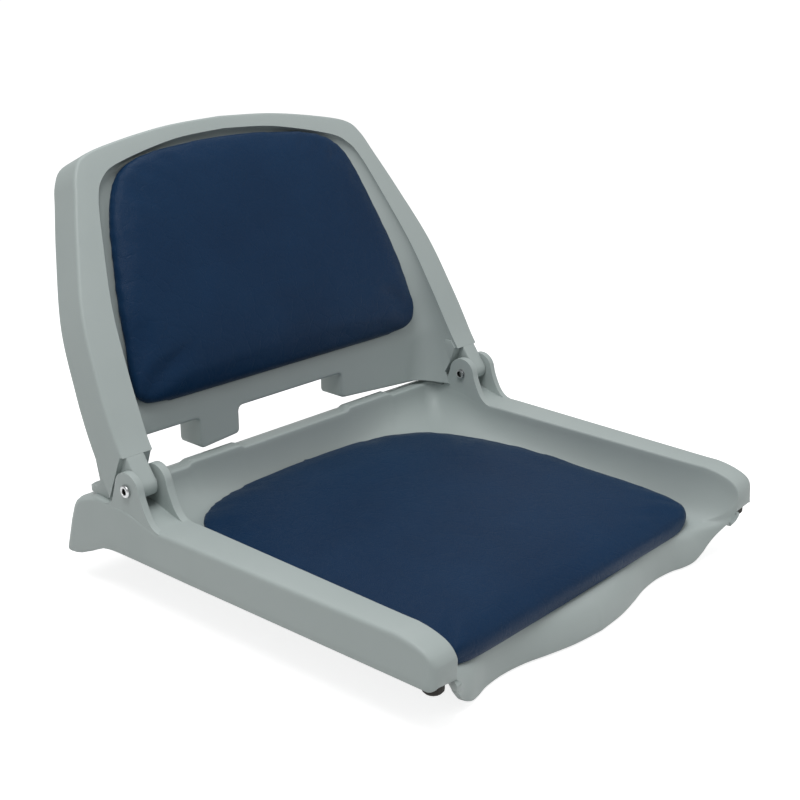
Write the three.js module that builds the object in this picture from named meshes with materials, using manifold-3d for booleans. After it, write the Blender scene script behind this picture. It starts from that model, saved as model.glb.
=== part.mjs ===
// Folding boat seat: a moulded base shell and a moulded back shell on two riveted clevis hinges,
// each with a screwed-on vinyl cushion. Millimetres, X to the sitter's left, Y to the back, Z up.
// The origin is the centre of the underside's bolt pattern.
import * as THREE from 'three';
import { mergeVertices } from 'three/addons/utils/BufferGeometryUtils.js';
import Module from 'manifold-3d';

const wasm = await Module();
wasm.setup();

// Overall sizes
const hingeWidth = 508.2;
const frontWidth = 482.8;
const pinHeight = 116.7;
const pinBack = 150;
const armLength = 357;
const rearFootLength = 108;
const wall = 4;
const gap = 0.3;
const weldDistance = 1e-4;
const cutOverrun = 20;

// Arms and rear rim of the base
const innerWidth = 427.6;
const armTop = 88;
const armBottom = 51;
const noseHeight = 74;
const noseLength = 36;
const rimTop = 97;
const rimRise = 34;
const rimFrontLength = 45;
const rimDepth = 12;
const rearShoulderLength = 85;
const rearShoulderHeight = 85;
const rearKneeLength = 93;
const rearKneeHeight = 76;
const footHeight = 27;
const footRun = 75;
const wallDraft = 2;
const edgeRound = 4;
const cornerShare = 0.3;
const rearCornerRadius = 13;
const rimPadHeight = 3;
const rimPadStart = 77;
const rimPadEnd = 144;

// Pan of the base
const lipHeight = 2.5;
const lipLength = 328;
const lipWave = 18;
const lipTuck = 2;
const seamWidth = 392;
const seamFrontWidth = 386;
const seamCentreLength = 195;
const seamFrontLength = 322;
const seamRearLength = 36;
const seamFrontHeight = 36;
const seamRearHeight = 54;
const seamFrontPower = 12;
const seamRearPower = 3.2;
const seamLeastTurn = 0.012;

// Underside of the base
const patternPitch = 127;
const bossRadius = 12;
const centreBossRadius = 18;
const ribWall = 4.5;
const ribFront = 100;
const ribRear = 134;
const ribSide = 82;
const insertRadius = 4.8;
const insertBore = 2.6;
const insertLength = 12.7;

// Clevis and hinge
const earThick = 8.1;
const earRadius = 17.4;
const earFlare = 6;
const clevisWidth = 40.3;
const tongueSide = 0.5;
const tongueRadius = 14;
const pinRadius = 4.2;
const pinBore = 3;
const pinHeadRadius = 6.1;
const pinHeadThick = 2;
const pinTail = 1.8;
const washerRadius = 5.4;
const washerThick = 1.2;

// Back shell, measured along its front plane from the pin and behind that plane
const backTilt = 27.8;
const pinDepth = 4.4;
const backHeight = 334.5;
const backHalfWidth = 250;
const skirtDepth = 36;
const skirtDraft = 2.5;
const backEdgeRound = 3;
const panelLength = 53;
const panelDepth = 33;
const panelLowEnd = 98.6;
const panelLowStart = 110;
const panelHigh = 138.5;
const notchHalf = 73;
const tabEnd = 124;
const panelHalf = 215;
const tabCorner = 4;
const recessDepth = 10;
const innerLowShare = 0.72;
const backCushionTop = 314;
const backCushionBottom = 68;
const backCushionHalf = 190;
const backCushionTopHalf = 153;
const backCushionSlantStart = 95;
const backCushionLowPower = 9;
const backCushionTopPower = 8;
const backCushionCentre = 180;
const backArch = 14;
const pocketTopLength = 10.6;
const pocketTopHeight = 27.8;
const heelFront = 27;
const heelRear = 70;
const heelLip = 4.4;
const heelRise = 55;
const heelBack = 57;
const heelNeck = 50;
const legInner = 214.5;
const legOuter = 248;

// Cushions
const vinyl = 1.2;
const cushionEdge = 12;
const seatCrown = 22;
const backCrown = 24;
const coverTurnIn = 28;
const coverInset = 2.4;
const boardThick = 5;
const boardInset = 5.5;
const screwRadius = 2.1;
const screwHeadRadius = 4.6;
const screwHeadThick = 2.6;
const screwBossRadius = 7;
const screwBossDepth = 3;
const seatScrewSide = 100;
const seatScrewFront = 100;
const seatScrewRear = 86;
const backScrewSide = 92;
const backScrewLow = 122;
const backScrewHigh = 256;

// Bumpers under the arms
const bumperRadius = 9;
const bumperHeight = 8;
const bumperInset = 13.2;
const bumperSetback = 12;
const bumperStemRadius = 3;
const bumperStemLength = 16;
const bumperBossRadius = 7;

const outerHalf = hingeWidth / 2;
const innerHalf = innerWidth / 2;
const armFront = pinBack - armLength;
const rearEnd = pinBack + rearFootLength;
const tiltSin = Math.sin(THREE.MathUtils.degToRad(backTilt));
const tiltCos = Math.cos(THREE.MathUtils.degToRad(backTilt));
const quarterTurn = Math.PI / 2;

const plastic = new THREE.Color().setRGB(0.42, 0.48, 0.48);
const navy = new THREE.Color().setRGB(0.008, 0.033, 0.075);

// Solids from geometries, and back
function toSolid(geometry) {
  const bare = new THREE.BufferGeometry();
  bare.setAttribute('position', geometry.getAttribute('position').clone());
  if (geometry.index) bare.setIndex(geometry.index.clone());
  const merged = mergeVertices(bare, weldDistance);
  const position = merged.getAttribute('position').array;
  const corners = [...merged.index.array];
  const a = new THREE.Vector3();
  const b = new THREE.Vector3();
  const c = new THREE.Vector3();
  const kept = [];
  let volume = 0;
  for (let i = 0; i < corners.length; i += 3) {
    const [p, q, r] = corners.slice(i, i + 3);
    if (p === q || q === r || r === p) continue;
    kept.push(p, q, r);
    a.fromArray(position, p * 3);
    b.fromArray(position, q * 3);
    c.fromArray(position, r * 3);
    volume += a.dot(b.cross(c));
  }
  const triVerts = new Uint32Array(volume < 0 ? kept.reverse() : kept);
  const vertProperties = new Float32Array(position);
  return new wasm.Manifold(new wasm.Mesh({ numProp: 3, vertProperties, triVerts }));
}

function toGeometry(solid) {
  const mesh = solid.getMesh();
  const geometry = new THREE.BufferGeometry();
  geometry.setAttribute('position', new THREE.BufferAttribute(new Float32Array(mesh.vertProperties), 3));
  geometry.setIndex([...mesh.triVerts]);
  const flat = geometry.toNonIndexed();
  flat.computeVertexNormals();
  return flat;
}

function unionOf(solids) {
  return solids.reduce((whole, next) => whole.add(next));
}

function cutAll(solid, cutters) {
  return cutters.reduce((left, cutter) => left.subtract(cutter), solid);
}

// A flat outline pushed along one axis: points are [y, z] for x, [x, z] for y and [x, y] for z
function prism(axis, points, from, to) {
  const shape = new THREE.Shape(points.map(([u, v]) => new THREE.Vector2(u, v)));
  const geometry = new THREE.ExtrudeGeometry(shape, { depth: to - from, bevelEnabled: false });
  geometry.translate(0, 0, from);
  const x = new THREE.Vector3(1, 0, 0);
  const y = new THREE.Vector3(0, 1, 0);
  const z = new THREE.Vector3(0, 0, 1);
  const bases = { x: [y, z, x], y: [x, z, y], z: [x, y, z] };
  geometry.applyMatrix4(new THREE.Matrix4().makeBasis(...bases[axis]));
  return toSolid(geometry);
}

// A round bar along Z from one height to the next, or along X after a turn
function roundBar(radius, from, to, x, y, sides = 18) {
  const geometry = new THREE.CylinderGeometry(radius, radius, to - from, sides);
  geometry.rotateX(quarterTurn);
  geometry.translate(x, y, (from + to) / 2);
  return toSolid(geometry);
}

function crossBar(radius, from, to, y, z, sides = 24) {
  const geometry = new THREE.CylinderGeometry(radius, radius, to - from, sides);
  geometry.rotateZ(quarterTurn);
  geometry.translate((from + to) / 2, y, z);
  return toSolid(geometry);
}

// Points of an arc about a centre, angles in degrees
function arc(centreU, centreV, radius, start, end, steps) {
  return Array.from({ length: steps + 1 }, (_, i) => {
    const angle = THREE.MathUtils.degToRad(start + ((end - start) * i) / steps);
    return [centreU + radius * Math.cos(angle), centreV + radius * Math.sin(angle)];
  });
}

// A smooth line through a few [a, b] pairs, read as b at a
function curveThrough(pairs) {
  const line = new THREE.SplineCurve(pairs.map(([a, b]) => new THREE.Vector2(a, b)));
  const points = line.getPoints(pairs.length * 12);
  return (a) => {
    const last = points.length - 1;
    if (a <= points[0].x) return points[0].y;
    if (a >= points[last].x) return points[last].y;
    const i = points.findIndex((point) => point.x > a);
    const share = (a - points[i - 1].x) / (points[i].x - points[i - 1].x);
    return THREE.MathUtils.lerp(points[i - 1].y, points[i].y, share);
  };
}

// Mirrors a half ring, from its first point on the symmetry plane to its last
function mirrored(half, closed) {
  const other = half.map((point) => new THREE.Vector3(-point.x, point.y, point.z)).reverse();
  return closed ? [...half, ...other.slice(1, -1)] : [...half, ...other.slice(1)];
}

// Triangles between rings that lie inside one another
function ringFaces(rings, closed) {
  const count = rings[0].length;
  const faces = [];
  const at = (ring, i) => ring * count + ((i + count) % count);
  const spans = closed ? count : count - 1;
  for (let ring = 0; ring < rings.length - 1; ring += 1) {
    for (let i = 0; i < spans; i += 1) {
      faces.push([at(ring, i), at(ring, i + 1), at(ring + 1, i + 1)]);
      faces.push([at(ring, i), at(ring + 1, i + 1), at(ring + 1, i)]);
    }
  }
  return faces;
}

// Fills a mirrored ring: level strips from side to side, and a fan at each flat end
function capFaces(points, start, count, closed) {
  const ring = points.slice(start, start + count);
  const middle = closed ? count / 2 : (count - 1) / 2;
  const mate = (i) => (closed ? (count - i) % count : count - 1 - i);
  const along = ring[middle].clone().sub(ring[0]).setX(0);
  const placeOf = (i) => ring[i].clone().sub(ring[0]).setX(0).dot(along) / along.lengthSq();
  let low = 0;
  while (closed && placeOf(low) < flatEndShare) low += 1;
  let high = middle;
  while (placeOf(high) > 1 - flatEndShare) high -= 1;
  const faces = [];
  const fan = (from, to) => {
    const apex = points.length;
    const edge = to > middle ? from : to;
    points.push(ring[edge].clone().setX(0));
    for (let i = from; i < to; i += 1) faces.push([start + i, start + ((i + 1) % count), apex]);
    return apex;
  };
  const strip = (i) => {
    faces.push([start + i, start + i + 1, start + mate(i)]);
    faces.push([start + i + 1, start + mate(i + 1), start + mate(i)]);
  };
  const highApex = fan(high, mate(high) === 0 ? count : mate(high));
  let from = low;
  let lowApex = highApex;
  if (closed && low < high) {
    lowApex = fan(-low + count, count);
    for (let i = 0; i < low; i += 1) faces.push([start + i, start + i + 1, lowApex]);
    points[lowApex].copy(ring[low]).setX(0);
    if (low + 1 < high) {
      faces.push([start + low, start + low + 1, lowApex]);
      faces.push([lowApex, start + low + 1, start + mate(low + 1)]);
      faces.push([lowApex, start + mate(low + 1), start + mate(low)]);
      from = low + 1;
    }
  }
  for (let i = from; i < high - 1; i += 1) strip(i);
  faces.push([start + high - 1, start + high, highApex]);
  faces.push([start + high - 1, highApex, start + mate(high - 1)]);
  faces.push([start + mate(high - 1), highApex, start + mate(high)]);
  return faces;
}
const flatEndShare = 0.07;

function geometryOf(points, faces) {
  const geometry = new THREE.BufferGeometry();
  geometry.setAttribute('position', new THREE.Float32BufferAttribute(points.flatMap((p) => p.toArray()), 3));
  geometry.setIndex(faces.flat());
  return geometry;
}

// A closed skin of even thickness behind a ringed surface
function ringSheet(rings, closed, thickness, fillLast = true) {
  const points = rings.flat();
  const faces = ringFaces(rings, closed);
  const count = rings[0].length;
  if (fillLast) faces.push(...capFaces(points, points.length - count, count, closed));
  const surface = geometryOf(points, faces);
  surface.computeVertexNormals();
  const normals = surface.getAttribute('normal');
  const faceNormals = faces.map(([p, q, r]) => {
    const side = points[q].clone().sub(points[p]);
    return side.cross(points[r].clone().sub(points[p])).normalize();
  });
  const lean = points.map(() => 1);
  faces.forEach((face, i) => {
    for (const corner of face) {
      const normal = new THREE.Vector3().fromBufferAttribute(normals, corner);
      lean[corner] = Math.min(lean[corner], Math.max(normal.dot(faceNormals[i]), mostLeanShare));
    }
  });
  const back = points.map((point, i) => {
    const normal = new THREE.Vector3().fromBufferAttribute(normals, i);
    return point.clone().addScaledVector(normal, -thickness / lean[i]);
  });
  const shift = points.length;
  const all = [...faces, ...faces.map(([p, q, r]) => [p + shift, r + shift, q + shift])];
  const edges = new Map();
  for (const [p, q, r] of faces) {
    for (const [from, to] of [[p, q], [q, r], [r, p]]) edges.set(`${from}_${to}`, [from, to]);
  }
  for (const [from, to] of edges.values()) {
    if (edges.has(`${to}_${from}`)) continue;
    all.push([to, from, from + shift], [to, from + shift, to + shift]);
  }
  return toSolid(geometryOf([...points, ...back], all));
}
const mostLeanShare = 0.6;

// A closed body over rings, filled across its first and last ring
function ringBody(rings) {
  const count = rings[0].length;
  const points = rings.flat();
  const faces = ringFaces(rings, true);
  faces.push(...capFaces(points, points.length - count, count, true));
  faces.push(...capFaces(points, 0, count, true).map(([p, q, r]) => [p, r, q]));
  return toSolid(geometryOf(points, faces));
}

// Distance from a centre to an outline, found by halving along the ray
function reach(outside, angle, longest) {
  let near = 0;
  let far = longest;
  for (let step = 0; step < 40; step += 1) {
    const middle = (near + far) / 2;
    if (outside(middle * Math.cos(angle), middle * Math.sin(angle))) far = middle;
    else near = middle;
  }
  return near;
}

// Base: arms and rear rim
const armTopAt = curveThrough([
  [armFront, noseHeight],
  [armFront + noseLength / 3, noseHeight + (armTop - noseHeight) * 0.62],
  [armFront + noseLength, armTop],
  [armFront + noseLength * 2, armTop],
  [pinBack - rimRise * 2, armTop],
  [pinBack - rimRise, armTop],
  [pinBack, rimTop - edgeRound / 4],
  [pinBack + rimRise / 2, rimTop],
  [rearEnd, rimTop],
]);
const armBottomAt = curveThrough([
  [armFront, armBottom],
  [pinBack - rearFootLength, armBottom],
  [rearEnd - footRun, armBottom],
  [rearEnd - footRun / 2, (armBottom + footHeight) / 2 + wallDraft],
  [rearEnd, footHeight],
]);
const armOuterAt = (y) => {
  const share = Math.min(1, (y - armFront) / armLength);
  return THREE.MathUtils.lerp(frontWidth / 2, outerHalf, share);
};

const sideStationShares = [0, 0.02, 0.045, 0.075, 0.11, 0.2, 0.4, 0.62, 0.7, 0.76, 0.82, 0.88, 0.94, 1];
const cornerSteps = 5;
const rearStations = 4;
// Levels across the channel: how far in from the outer wall, how far down, and the place at the rear
const channelLevels = [
  { inset: (y) => armOuterAt(y) - innerHalf, drop: 0, rear: rimFrontLength, radius: rimDepth },
  { inset: () => edgeRound, drop: 0, rear: rimFrontLength + rimDepth, radius: rimDepth },
  {
    inset: () => edgeRound * cornerShare, drop: edgeRound * cornerShare,
    rear: rimFrontLength + rimDepth * 1.3, radius: rimDepth,
  },
  { inset: () => 0, drop: edgeRound, rear: rimFrontLength + rimDepth * 1.7, radius: rearCornerRadius },
  {
    inset: () => 0, height: rearShoulderHeight, under: edgeRound * 1.4,
    rear: rearShoulderLength, radius: rearCornerRadius,
  },
  { inset: () => -wallDraft / 2, height: rearKneeHeight, rear: rearKneeLength, radius: rearCornerRadius },
  { inset: () => -wallDraft, height: null, rear: rearFootLength, radius: rearCornerRadius },
];
function channelRing(level) {
  const rearY = pinBack + level.rear;
  const heightAt = (y) => {
    if (level.height) return Math.min(level.height, armTopAt(y) - (level.under ?? edgeRound * 2));
    return level.height === null ? armBottomAt(y) : armTopAt(y) - level.drop;
  };
  const straightEnd = rearY - level.radius;
  const half = sideStationShares.map((share) => {
    const y = THREE.MathUtils.lerp(armFront, straightEnd, share);
    return new THREE.Vector3(armOuterAt(y) - level.inset(y), y, heightAt(y));
  });
  const sideX = armOuterAt(straightEnd) - level.inset(straightEnd);
  const turns = arc(sideX - level.radius, straightEnd, level.radius, 0, 90, cornerSteps).slice(1);
  for (const [x, y] of turns) half.push(new THREE.Vector3(x, y, heightAt(y)));
  for (let i = 1; i <= rearStations; i += 1) {
    half.push(new THREE.Vector3((sideX - level.radius) * (1 - i / rearStations), rearY, heightAt(rearY)));
  }
  return mirrored(half, false);
}
const channel = ringSheet(channelLevels.map(channelRing).reverse(), false, wall, false);

// Base: pan with its waved front lip
const seamCentre = pinBack - seamCentreLength;
const seamFront = pinBack - seamFrontLength;
const seamRear = pinBack + seamRearLength;
const seamOutside = (x, fromCentre) => {
  const front = fromCentre < 0;
  const reachY = front ? seamCentre - seamFront : seamRear - seamCentre;
  const power = front ? seamFrontPower : seamRearPower;
  const narrow = front ? (seamWidth - seamFrontWidth) / 2 : 0;
  const half = seamWidth / 2 - narrow * Math.min(1, Math.abs(fromCentre) / reachY) ** 1.5;
  return Math.abs(x / half) ** power + Math.abs(fromCentre / reachY) ** power > 1;
};
const seamHeight = (y) => {
  const share = THREE.MathUtils.clamp((y - seamFront) / (seamRear - seamFront), 0, 1);
  return seamFrontHeight + ((seamRearHeight - seamFrontHeight) * share * 1.5) / (share + 0.5);
};
// Lip outline: shares of the inner half width, of the wave and of the rise to the arm
const lipShares = [
  [0, 1, 0], [0.16, 0.83, 0], [0.3, 0.5, 0], [0.43, 0.14, 0], [0.55, 0, 0], [0.68, 0.08, 0],
  [0.785, 0.47, 0], [0.85, 0.61, 0.02], [0.91, 0.83, 0.26], [0.96, 1.1, 0.57],
];
const lipRise = armBottom - wall - lipHeight;
const lipBack = pinBack - lipLength;
const cornerFront = armFront + lipTuck;
const panEdge = innerHalf + gap * 2;
const panBoundary = [];
for (const [across, forward, up] of lipShares) {
  const z = lipHeight + lipRise * up;
  panBoundary.push(new THREE.Vector3(innerHalf * across, lipBack - lipWave * forward, z));
}
const noseLow = lipHeight + lipRise;
for (const up of [0, 0.5, 1]) {
  const z = THREE.MathUtils.lerp(noseLow, noseHeight - lipTuck, up);
  panBoundary.push(new THREE.Vector3(panEdge, cornerFront - gap * up, z));
}
for (const back of [0.2, 0.45, 0.72, 1]) {
  const y = cornerFront + noseLength * back;
  panBoundary.push(new THREE.Vector3(panEdge, y, armTopAt(y) - gap * 4));
}
const rimFront = pinBack + rimFrontLength;
const sideSteps = 8;
for (let i = 1; i <= sideSteps; i += 1) {
  const y = THREE.MathUtils.lerp(cornerFront + noseLength, rimFront - rimDepth, i / sideSteps);
  panBoundary.push(new THREE.Vector3(panEdge, y, armTopAt(y) - gap * 4));
}
for (const [x, y] of arc(panEdge - rimDepth, rimFront - rimDepth + gap, rimDepth, 30, 90, 2)) {
  panBoundary.push(new THREE.Vector3(x, y, rimTop - gap * 4));
}
const rimSteps = 6;
for (let i = 1; i <= rimSteps; i += 1) {
  const x = (panEdge - rimDepth) * (1 - i / rimSteps);
  panBoundary.push(new THREE.Vector3(x, rimFront + gap, rimTop - gap * 4));
}
// Each ray from the seam's centre turns on from the one before, so the seam never folds back
let seamTurn = -quarterTurn - seamLeastTurn;
const seamHalf = panBoundary.map((point) => {
  seamTurn = Math.max(Math.atan2(point.y - seamCentre, point.x), seamTurn + seamLeastTurn);
  const angle = seamTurn;
  const length = reach(seamOutside, angle, armLength);
  return new THREE.Vector3(length * Math.cos(angle), seamCentre + length * Math.sin(angle), 0);
});
for (const point of seamHalf) point.z = seamHeight(point.y);
seamHalf[0].x = 0;
seamHalf[seamHalf.length - 1].x = 0;
const panRings = [90, 76, 61, 43, 22, 0].map((degrees) => {
  const turn = THREE.MathUtils.degToRad(degrees);
  const half = panBoundary.map((edge, i) => {
    const seam = seamHalf[i];
    const out = Math.sin(turn);
    const up = 1 - Math.cos(turn);
    return new THREE.Vector3(
      THREE.MathUtils.lerp(seam.x, edge.x, out),
      THREE.MathUtils.lerp(seam.y, edge.y, out),
      THREE.MathUtils.lerp(seam.z, edge.z, up),
    );
  });
  return mirrored(half, true);
});
const pan = ringSheet(panRings, true, wall);

// Base: nose of each arm
function armNose(side) {
  const outer = armOuterAt(armFront);
  const face = [
    [innerHalf, armBottom], [outer + wallDraft, armBottom], [outer, noseHeight - edgeRound],
    [outer - edgeRound * cornerShare, noseHeight - edgeRound * cornerShare], [outer - edgeRound, noseHeight],
    [innerHalf, noseHeight],
  ];
  const cheek = [
    [armFront, armBottom - wall], [armFront, noseHeight - gap], [armFront + noseLength, armTop - gap * 2],
    [armFront + noseLength + wall, armTop - wall * 2], [armFront + noseLength / 2, armBottom - wall * 2],
  ];
  const front = prism('y', face.map(([x, z]) => [x * side, z]), armFront, armFront + wall);
  const cheekEnds = [innerHalf * side, (innerHalf + wall) * side].sort((a, b) => a - b);
  return front.add(prism('x', cheek, ...cheekEnds));
}

// Base: clevis ears, each with a round top and sides that spread towards the arm
const earRoot = armTop - wall;
function earOutline() {
  const spread = Math.atan2(earFlare, pinHeight - rimTop + earRadius);
  const degrees = THREE.MathUtils.radToDeg(spread);
  const top = arc(pinBack, pinHeight, earRadius, 180 - degrees, degrees, 12);
  const footSpread = earRadius + earFlare + edgeRound;
  return [
    [pinBack - footSpread - edgeRound * 2, earRoot],
    [pinBack - footSpread - edgeRound * 0.9, armTop + edgeRound * 0.8],
    [pinBack - footSpread + edgeRound * 0.2, rimTop + edgeRound * 0.6],
    ...top,
    [pinBack + footSpread - edgeRound * 0.5, rimTop + edgeRound * 0.6],
    [pinBack + footSpread, rimTop - edgeRound],
    [pinBack + footSpread, earRoot],
  ];
}
const earInner = outerHalf - clevisWidth;
const earStarts = [earInner, outerHalf - earThick];
function ears(side) {
  return unionOf(earStarts.map((start) => {
    const ends = [start * side, (start + earThick) * side].sort((a, b) => a - b);
    return prism('x', earOutline(), ...ends);
  }));
}

// Base: egg-crate ribs and bosses under the pan, trimmed to the pan's own underside
const floorClear = boardThick;
function belowPan(solid) {
  const lowered = panRings.map((ring) => ring.map((p) => p.clone().setZ(p.z - wall / 2)));
  const top = lowered.map((ring) => ring.map((p) => p.clone()));
  const skirtRing = top[0].map((p) => new THREE.Vector3(p.x, p.y, -cutOverrun));
  return solid.intersect(ringBody([skirtRing, ...top]));
}
const crateTop = seamRearHeight + floorClear * 2;
const lengthRibs = [0];
for (const share of [0.25, 0.5, ribSide / patternPitch]) {
  lengthRibs.push(-patternPitch * share, patternPitch * share);
}
const crossRibs = [-ribFront, -patternPitch / 2, 0, patternPitch / 2, ribRear];
const boxOf = (x0, x1, y0, y1, z0, z1) => prism('z', [[x0, y0], [x1, y0], [x1, y1], [x0, y1]], z0, z1);
const crate = [
  ...lengthRibs.map((x) => boxOf(x - ribWall / 2, x + ribWall / 2, -ribFront, ribRear, 0, crateTop)),
  ...crossRibs.map((y) => boxOf(-ribSide, ribSide, y - ribWall / 2, y + ribWall / 2, 0, crateTop)),
  roundBar(centreBossRadius, 0, crateTop, 0, 0, 24),
];
const bothWays = [-patternPitch / 2, patternPitch / 2];
const patternCorners = bothWays.flatMap((y) => bothWays.map((x) => [x, y]));
for (const [x, y] of patternCorners) crate.push(roundBar(bossRadius, 0, crateTop, x, y));

// Base: long stiffening ribs from the crate to the arms
const beamHeight = footHeight;
const reachOut = innerHalf + wall;
for (const y of [-patternPitch / 2, patternPitch / 2]) {
  for (const side of [-1, 1]) {
    const from = side < 0 ? -reachOut : ribSide;
    const to = side < 0 ? -ribSide : reachOut;
    crate.push(boxOf(from, to, y - ribWall / 2, y + ribWall / 2, beamHeight, armTop));
  }
}

const seatScrews = [-1, 1].flatMap((side) => [
  [side * seatScrewSide, -seatScrewFront / 2],
  [side * seatScrewSide, seatScrewRear],
]);
const screwBosses = seatScrews.map(([x, y]) => {
  const z = seamHeight(y) - wall;
  return roundBar(screwBossRadius, z - screwBossDepth, z + wall / 2, x, y);
});

// Base: raised pads of the rear rim under the tabs of the back
const padShares = [[rimPadStart, rimPadEnd], [-rimPadEnd, -rimPadStart]];
const rimPads = padShares.map(([x0, x1]) => {
  const front = rimFront + rimDepth * 0.1;
  const rear = rimFront + rimDepth;
  return prism('y', [
    [x0 - rimPadHeight, rimTop - wall / 2], [x1 + rimPadHeight, rimTop - wall / 2],
    [x1, rimTop + rimPadHeight], [x0, rimTop + rimPadHeight],
  ], front, rear);
});
const bumperX = frontWidth / 2 - bumperInset;
const bumperY = armFront + bumperSetback;
const bumperBosses = [-1, 1].map((side) => {
  return roundBar(bumperBossRadius, armBottom, armTopAt(bumperY) - wall / 2, side * bumperX, bumperY);
});

const seatHoles = [
  ...patternCorners.map(([x, y]) => roundBar(insertRadius + gap, -cutOverrun, insertLength + wall, x, y)),
  ...seatScrews.map(([x, y]) => roundBar(screwRadius + gap, 0, armTop, x, y, 12)),
  ...[-1, 1].map((side) => {
    const top = armBottom + bumperStemLength + gap;
    return roundBar(bumperStemRadius + gap, 0, top, side * bumperX, bumperY, 12);
  }),
  crossBar(pinRadius + gap, -outerHalf - cutOverrun, outerHalf + cutOverrun, pinBack, pinHeight),
];
const seatShell = cutAll(
  unionOf([
    channel, pan, belowPan(unionOf(crate)), armNose(1), armNose(-1), ears(1), ears(-1),
    ...screwBosses, ...rimPads, ...bumperBosses,
  ]),
  seatHoles,
);

// Back: places on the tilted front plane, across, up from the pin and behind the plane
function onBack(across, up, behind) {
  const depth = behind - pinDepth;
  return new THREE.Vector3(
    across,
    pinBack + up * tiltSin + depth * tiltCos,
    pinHeight + up * tiltCos - depth * tiltSin,
  );
}
const panelBehind = (up) => pinDepth + (panelLength - up * tiltSin) / tiltCos;
const panelTopUp = 60;
const recessAt = curveThrough([
  [panelTopUp, panelBehind(panelTopUp)],
  [panelTopUp * 1.3, panelBehind(panelTopUp) * 0.87],
  [panelTopUp * 1.75, recessDepth * 2.15],
  [panelTopUp * 2.5, recessDepth * 1.4],
  [backCushionCentre * 1.2, recessDepth * 1.07],
  [backHeight, recessDepth],
]);
const floorBehind = (up) => (up < panelTopUp ? panelBehind(up) : recessAt(up));

// Outlines of the front plane as shares of the half width and of the height
const outerShares = [
  [1, 0.02], [1, 0.102], [0.997, 0.194], [0.984, 0.308], [0.95, 0.484], [0.866, 0.682], [0.8, 0.817],
  [0.763, 0.885], [0.705, 0.929], [0.55, 0.96], [0.28, 0.99], [0, 1],
];
const ridgeShares = [
  [0.866, 0.02], [0.864, 0.102], [0.856, 0.194], [0.844, 0.308], [0.816, 0.484], [0.752, 0.682],
  [0.705, 0.8], [0.655, 0.858], [0.56, 0.895], [0.27, 0.943], [0, 0.957],
];
const shareCurve = (shares) => {
  const points = shares.map(([x, y]) => new THREE.Vector2(x * backHalfWidth, y * backHeight));
  return new THREE.SplineCurve(points).getPoints(shares.length * 10);
};
const outerLine = shareCurve(outerShares);
const ridgeLine = shareCurve(ridgeShares);

const backCushionSlant = (backCushionHalf - backCushionTopHalf) / (backCushionTop - backCushionSlantStart);
const backCushionSideAt = (up) => {
  return Math.min(backCushionHalf, backCushionHalf - backCushionSlant * (up - backCushionSlantStart));
};
const backOutside = (x, fromCentre) => {
  const low = fromCentre < 0;
  const reachUp = low
    ? backCushionCentre - backCushionBottom
    : backCushionTop - backCushionCentre - backArch * (x / backCushionTopHalf) ** 2;
  const power = low ? backCushionLowPower : backCushionTopPower;
  const across = Math.abs(x / backCushionSideAt(fromCentre + backCushionCentre)) ** power;
  return across + Math.abs(fromCentre / reachUp) ** power > 1;
};
const acrossAt = (line) => (up) => {
  const i = line.findIndex((point) => point.y > up);
  if (i < 1) return line[0].x;
  const share = (up - line[i - 1].y) / (line[i].y - line[i - 1].y);
  return THREE.MathUtils.lerp(line[i - 1].x, line[i].x, share);
};
const outsideLine = (line) => (x, fromCentre) => {
  const up = fromCentre + backCushionCentre;
  const edge = acrossAt(line)(up);
  return up > line[line.length - 1].y || Math.abs(x) > edge;
};
const innerLow = backHalfWidth * innerLowShare;
const lowStarts = [-0.05, 0.08, 0.18, 0.28, 0.36, 0.45, 0.54];
const upperSteps = 20;
// One side of a line of the back: level stations up to the centre, then rays round the top
function backHalf(levelAcross, outside) {
  const half = lowStarts.slice(0, -1).map((share) => {
    const up = share * backHeight;
    return new THREE.Vector2(levelAcross(up), up);
  });
  for (let i = 0; i <= upperSteps; i += 1) {
    const angle = (quarterTurn * i) / upperSteps;
    const length = reach(outside, angle, backHeight);
    half.push(new THREE.Vector2(length * Math.cos(angle), backCushionCentre + length * Math.sin(angle)));
  }
  half[half.length - 1].x = 0;
  return half;
}
const outerHalfLine = backHalf(acrossAt(outerLine), outsideLine(outerLine));
const ridgeHalfLine = backHalf(acrossAt(ridgeLine), outsideLine(ridgeLine));
const cushionLevel = (up) => {
  const share = THREE.MathUtils.clamp(up / (backCushionBottom - cushionEdge), 0, 1);
  return THREE.MathUtils.lerp(innerLow, backCushionSideAt(up), share);
};
const floorHalfLine = backHalf(cushionLevel, backOutside);

// Moves a half line away from its own centre, or towards it
function grown(line, amount) {
  return line.map((point, i) => {
    const before = line[Math.max(0, i - 1)];
    const after = line[Math.min(line.length - 1, i + 1)];
    const along = after.clone().sub(before).normalize();
    const normal = new THREE.Vector2(along.y, -along.x);
    if (i === line.length - 1) normal.set(0, 1);
    return point.clone().addScaledVector(normal, amount);
  });
}
const liftLine = (line, behind) => mirrored(line.map((p, i) => onBack(p.x, p.y, behind(p, i))), false);
const backRings = [
  liftLine(grown(outerHalfLine, skirtDraft), () => skirtDepth),
  liftLine(outerHalfLine, () => backEdgeRound),
  liftLine(grown(outerHalfLine, -backEdgeRound * cornerShare), () => backEdgeRound * cornerShare),
  liftLine(grown(outerHalfLine, -backEdgeRound), () => 0),
];
for (const degrees of [90, 72, 55, 38, 20, 0]) {
  const turn = THREE.MathUtils.degToRad(degrees);
  const line = ridgeHalfLine.map((ridge, i) => ridge.clone().lerp(floorHalfLine[i], 1 - Math.sin(turn)));
  backRings.push(liftLine(line, (p) => floorBehind(p.y) * Math.cos(turn)));
}
const backFace = ringSheet(backRings, false, wall);

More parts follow.
